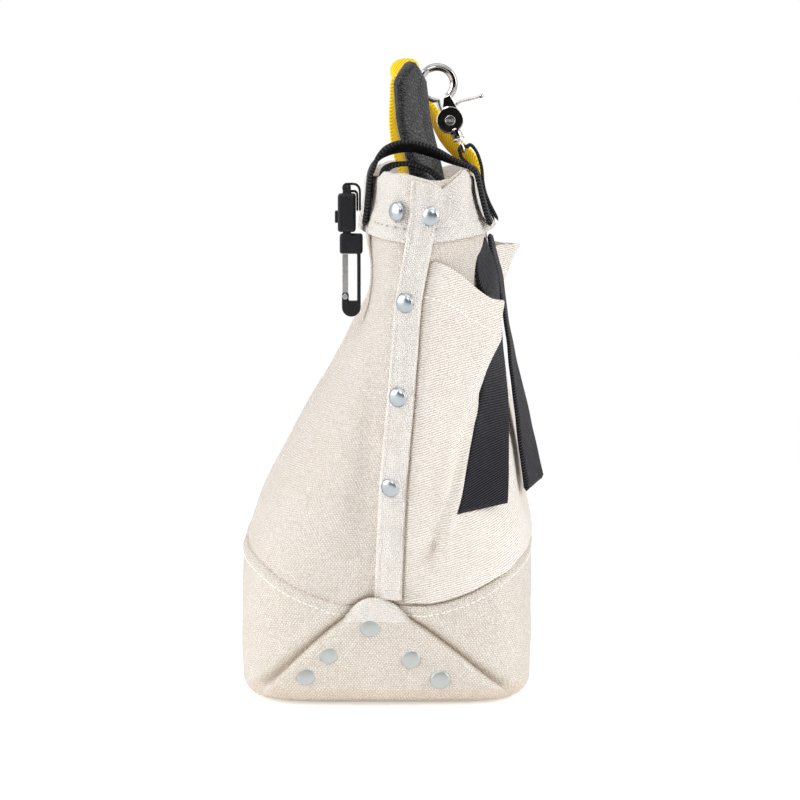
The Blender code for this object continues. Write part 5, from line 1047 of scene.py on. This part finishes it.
HANGER_ROUTES = (
    ((86.96, 47.5, 236.01, 0.95, -0.20, -0.228), (84.19, 50.8, 222.83, 0.92, -0.31, -0.25),
     (82.1, 53.2, 215.58, 0.93, -0.28, -0.22), (81.41, 54.21, 209.65, 0.965, -0.24, -0.005),
     (82.22, 54.97, 195.15, 0.952, -0.258, 0.166), (87.31, 55.6, 178.02, 0.894, -0.338, 0.293),
     (93.81, 55.0, 160.89, 0.80, -0.50, 0.30), (99.64, 53.6, 146.39, 0.74, -0.60, 0.29),
     (108.13, 51.0, 122.67, 0.60, -0.76, 0.22),
     (113.98, 48.6, 104.22, 0.47, -0.86, 0.17)),
    ((46.25, 53.39, 239.1, 0.998, -0.057, 0.041), (46.97, 56.68, 226.08, 0.996, -0.077, 0.037),
     (47.4, 58.48, 218.91, 0.996, -0.087, 0.037), (47.69, 59.43, 213.05, 0.995, -0.093, 0.039),
     (48.49, 61.6, 198.72, 1, -0.06, 0.03), (49.32, 64.3, 181.78, 0.995, -0.09, 0.04),
     (50.9, 67.2, 164.85, 0.985, -0.16, 0.059), (52.48, 69.9, 150.52, 0.97, -0.22, 0.04),
     (54.51, 73.9, 127.07, 0.95, -0.31, 0.031), (56.18, 77.0, 108.83, 0.929, -0.36, 0.026)))

# -------- rivets and hardware


# A cap's outline as shares of its radius and height: the rolled lip, then the dome
CAP_LIP = ((0.93, -0.12), (1.0, 0.02), (1.015, 0.12), (0.99, 0.22), (0.955, 0.27))
CAP_DOME = [(0.94 * math.cos(a), 0.27 + 0.73 * math.sin(a)) for a in np.radians(np.linspace(8, 88, 11))]
CAP_SIDES = 48
# Radius, height, distance off the cloth and lean of a cap in a seam, and of a flatter one in a flap
SEAM_CAP = (0.0049, 0.0024, 0.0010, (0, -0.50, 0))
FLAP_CAP = (0.0050, 0.0014, 0.0, (0, 0, 0.16))


def rivet_cap(node, dull):
    """A domed cap with a rolled lip in place of a CAD rivet."""
    co = np.array([vertex.co for vertex in NODES[node].data.vertices])
    middle = co.mean(0)
    _, _, axes = np.linalg.svd(co - middle)
    axis = axes[2] * (1 if axes[2][0] * middle[0] >= 0 else -1)
    radius, height, lifted, lean = FLAP_CAP if dull else SEAM_CAP
    seat = middle + axis * (((co - middle) @ axis).min() + lifted)
    axis = unit(axis + np.array(lean))
    side = unit(np.cross(axis, (0, 0, 1)))
    other = np.cross(axis, side)
    profile = [*CAP_LIP, *CAP_DOME]
    angles = 2 * math.pi * np.arange(CAP_SIDES) / CAP_SIDES
    vertices = [seat + (side * math.cos(angle) + other * math.sin(angle)) * radius * r + axis * height * h
                for r, h in profile for angle in angles]
    top, last = len(vertices), (len(profile) - 1) * CAP_SIDES
    vertices.append(seat + axis * height)
    faces = tube_faces(0, len(profile), CAP_SIDES, turned=True)
    faces += [(last + (k + 1) % CAP_SIDES, last + k, top) for k in range(CAP_SIDES)]
    return mesh_object(node + "_cap", vertices, faces, None, DULL_ZINC if dull else ZINC)


def refined(node, material, voxel, passes):
    """A CAD node's own form with its edges eased, as a moulded or cast piece has them."""
    made = bpy.data.objects.new(node + "_finish", NODES[node].data.copy())
    bpy.context.scene.collection.objects.link(made)
    made.data.materials.clear()
    weld = made.modifiers.new("weld", "WELD")
    weld.merge_threshold = 0.00001
    remesh = made.modifiers.new("remesh", "REMESH")
    remesh.mode = "VOXEL"
    remesh.voxel_size = voxel
    softener = made.modifiers.new("ease", "SMOOTH")
    softener.iterations, softener.factor = passes, 0.5
    bpy.context.view_layer.update()
    data = bpy.data.meshes.new_from_object(made.evaluated_get(bpy.context.evaluated_depsgraph_get()))
    made.modifiers.clear()
    made.data = data
    data.materials.clear()
    data.materials.append(material)
    data.polygons.foreach_set("use_smooth", [True] * len(data.polygons))
    return made


def ride(made, body, *replaced, slot=None):
    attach(made, body)
    if replaced:
        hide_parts(*replaced)


# -------- build

body, floor_cloth = bag_body()
ride(body, "bag", "bag_body", slot="cream_canvas")
ride(floor_cloth, "bag", slot="cream_canvas")
ride(bottom_wrap(), "bag", "bottom_wrap", slot="cream_canvas")
ride(rim_cuff(), "bag", "rim_cuff", slot="pale_canvas")
pocket, pocket_grid = back_pocket()
ride(pocket, "bag", "back_pocket", slot="cream_canvas")
for side, word in SIDE_WORDS.items():
    ride(end_flap(side), "bag", word + "_end_flap", slot="cream_canvas")
    ride(seam_strip(side), "bag", word + "_seam_strip", slot="pale_canvas")
    for number in range(1, 6):
        for kind in ("seam", "flap"):
            node = f"{word}_{kind}_rivet_{number}"
            ride(rivet_cap(node, kind == "flap"), "bag", node, slot="rivet_steel")

whole_ring = np.append(RING, 1.0)
ride(skin_stitches("wrap_stitches", whole_ring, wrap_top(whole_ring) - WRAP_ROW, 0.0021), "bag")
ride(skin_stitches("cuff_stitches", whole_ring, cuff_edge(whole_ring) + CUFF_ROW,
                   0.0017 + cuff_flare(whole_ring) * 0.47, TAN_THREAD, pitch=0.0052, length=0.0016,
                   radius=0.00026), "bag")
strip_z = np.linspace(0.063, HEIGHT - 0.004, 160)
for side, word in SIDE_WORDS.items():
    for number, share in ((1, -0.67), (2, 0.80)):
        turns = np.array([float(strip_turn(z, share)) for z in strip_z])
        row = skin_stitches(f"{word}_strip_stitches_{number}", turns, strip_z, strip_middle(strip_z) + 0.0006,
                            pitch=0.0030, radius=0.00024)
        if side < 0:
            row.data.transform(Matrix.Scale(-1, 4, Vector((1, 0, 0))))
            row.data.flip_normals()
        ride(row, "bag")
POCKET_STITCH_ROW = -13
line = pocket_grid[POCKET_STITCH_ROW]
hem_normals = unit(np.cross(np.gradient(line, axis=0), np.array([0, 0, -1.0])))
hem_normals[hem_normals[:, 1] < 0] *= -1
ride(stitch_row("pocket_stitches", line, hem_normals, THREAD), "bag")

LEATHER_WIDTHS = (0.04, 0.52, 0.96) + (1,) * 9
HANGER_LAYERS = (1, 1, 1, 1, 1, 1.05, 1.1, 1.2, 1.35, 1.7)
STRAP = "black_webbing"
for node, name, route, width, thickness, material, slot, settings in (
        ("closure_strap", "closure_strap_webbing", CLOSURE_ROUTE, 0.024, 0.0024, BLACK_RIBBED, STRAP, {}),
        ("inner_strap", "inner_strap_webbing", INNER_ROUTE, 0.022, 0.002, BLACK_RIBBED, STRAP, {}),
        ("leather_strap", "leather_strap_hide", LEATHER_ROUTE, 0.022, 0.0036, LEATHER, "dark_leather",
         {"width_shares": LEATHER_WIDTHS, "crown": 0.0024}),
        ("yellow_webbing", "yellow_tape", YELLOW_ROUTE, 0.025, 0.002, YELLOW, "yellow_webbing", {}),
        ("leash_strap", "leash_tape", LEASH_ROUTE, 0.012, 0.0016, BLACK, STRAP, {"roughness": 0.0001}),
        ("clip_webbing", "clip_tape", CLIP_ROUTE, 0.008, 0.001, BLACK, STRAP, {"roughness": 0.0})):
    ride(ribbon(name, route, width, thickness, material, **settings), "bag", node, slot=slot)
for number, route, slant in zip((1, 2), HANGER_ROUTES, (0.40, 0.16)):
    ride(ribbon(f"hanging_tape_{number}", route, 0.028, 0.002, BLACK, steps=10, foot_slant=slant,
                layer_shares=HANGER_LAYERS),
         f"hanging_strap_{number}", f"hanging_strap_{number}", slot=STRAP)

for node, body_name, material, voxel, passes, slot in (
        ("snap_body", "snap", CHROME, 0.00026, 6, "bright_chrome"),
        ("snap_gate", "snap_gate", CHROME, 0.00022, 5, "bright_chrome"),
        ("swivel_eye", "bag", CHROME, 0.00022, 4, "bright_chrome"),
        ("snap_rivet", "snap", STEEL, 0.00014, 3, "bright_steel"),
        ("clip_gate", "clip_gate", STEEL, 0.00014, 3, "bright_steel"),
        ("clip_gate_pin", "clip", STEEL, 0.00012, 2, "bright_steel"),
        ("buckle_socket", "bag", PLASTIC, 0.00026, 4, "black_plastic"),
        ("release_button", "release_button", PLASTIC, 0.00020, 3, "black_plastic"),
        ("clip_body", "clip", PLASTIC, 0.00024, 5, "black_plastic")):
    ride(refined(node, material, voxel, passes), body_name, node, slot=slot)

# -------- studio


def stage_plane(name, size, place, colour, glow):
    bpy.ops.mesh.primitive_plane_add(size=size, location=place)
    made = bpy.context.object
    made.name = name
    shade = Shade(name, roughness=0.9, specular_ior_level=0.1, emission_color=(*colour, 1.0),
                  emission_strength=glow)
    made.data.materials.append(shade.finish(colour))
    return made


def turned_to(target, place):
    return (Vector(target) - Vector(place)).to_track_quat("-Z", "Y").to_euler()


stage_plane("studio_floor", 1.8, (0, 0, -0.0002), (0.93, 0.93, 0.93), 0.40)
card = stage_plane("studio_card", 1.0, (3.4, 0, 1.15), (0.03, 0.03, 0.03), 0.0)
card.scale = (2.3, 8.0, 1.0)
card.rotation_euler = (0, math.radians(90), 0)
scene = bpy.context.scene
for name, place, target_height, size, power in (
        ("left_softbox", (0.50, -1.5, 0.75), 0.15, 1.3, 21.5),
        ("right_softbox", (0.50, 1.5, 0.75), 0.15, 1.3, 20.5),
        ("top_softbox", (0.3, 0.0, 1.9), 0.1, 1.5, 9.5),
        ("front_softbox", (2.3, -0.5, 1.5), 0.15, 0.8, 13.0)):
    light = bpy.data.lights.new(name, "AREA")
    light.shape, light.size, light.energy = "SQUARE", size, power
    lamp = bpy.data.objects.new(name, light)
    lamp.location, lamp.rotation_euler = place, turned_to((0, 0, target_height), place)
    scene.collection.objects.link(lamp)

AMBIENT = 0.28
world = bpy.data.worlds.new("studio_world")
scene.world = world
world.use_nodes = True
tree = world.node_tree
tree.nodes.clear()


def world_node(kind, *inputs, **settings):
    """The output of a new node of the world, with a link or a value at each input in turn."""
    made = tree.nodes.new(kind)
    for key, value in settings.items():
        setattr(made, key, value)
    for socket, value in zip(made.inputs, inputs):
        if isinstance(value, bpy.types.NodeSocket):
            tree.links.new(value, socket)
        else:
            socket.default_value = value
    return made.outputs[0]


rays = tree.nodes.new("ShaderNodeLightPath").outputs
seen = world_node("ShaderNodeMath", rays["Is Camera Ray"], rays["Is Glossy Ray"], operation="MAXIMUM")
through = world_node("ShaderNodeMath", seen, rays["Is Transmission Ray"], operation="MAXIMUM")
ambient = world_node("ShaderNodeBackground", (*WHITE, 1.0), AMBIENT)
backdrop = world_node("ShaderNodeBackground", (*WHITE, 1.0), 1.0)
output = tree.nodes.new("ShaderNodeOutputWorld")
tree.links.new(world_node("ShaderNodeMixShader", through, ambient, backdrop), output.inputs["Surface"])

scene.view_settings.view_transform = "Standard"
TARGET, DISTANCE, ELEVATION = Vector((0.120, 0.007, 0.1599)), 1.6, math.radians(6)
camera_data = bpy.data.cameras.new("camera")
camera_data.angle = math.radians(14.25)
camera = bpy.data.objects.new("camera", camera_data)
scene.collection.objects.link(camera)
camera.location = TARGET + Vector((math.cos(ELEVATION), 0, math.sin(ELEVATION))) * DISTANCE
camera.rotation_euler = turned_to(TARGET, camera.location)
scene.camera = camera
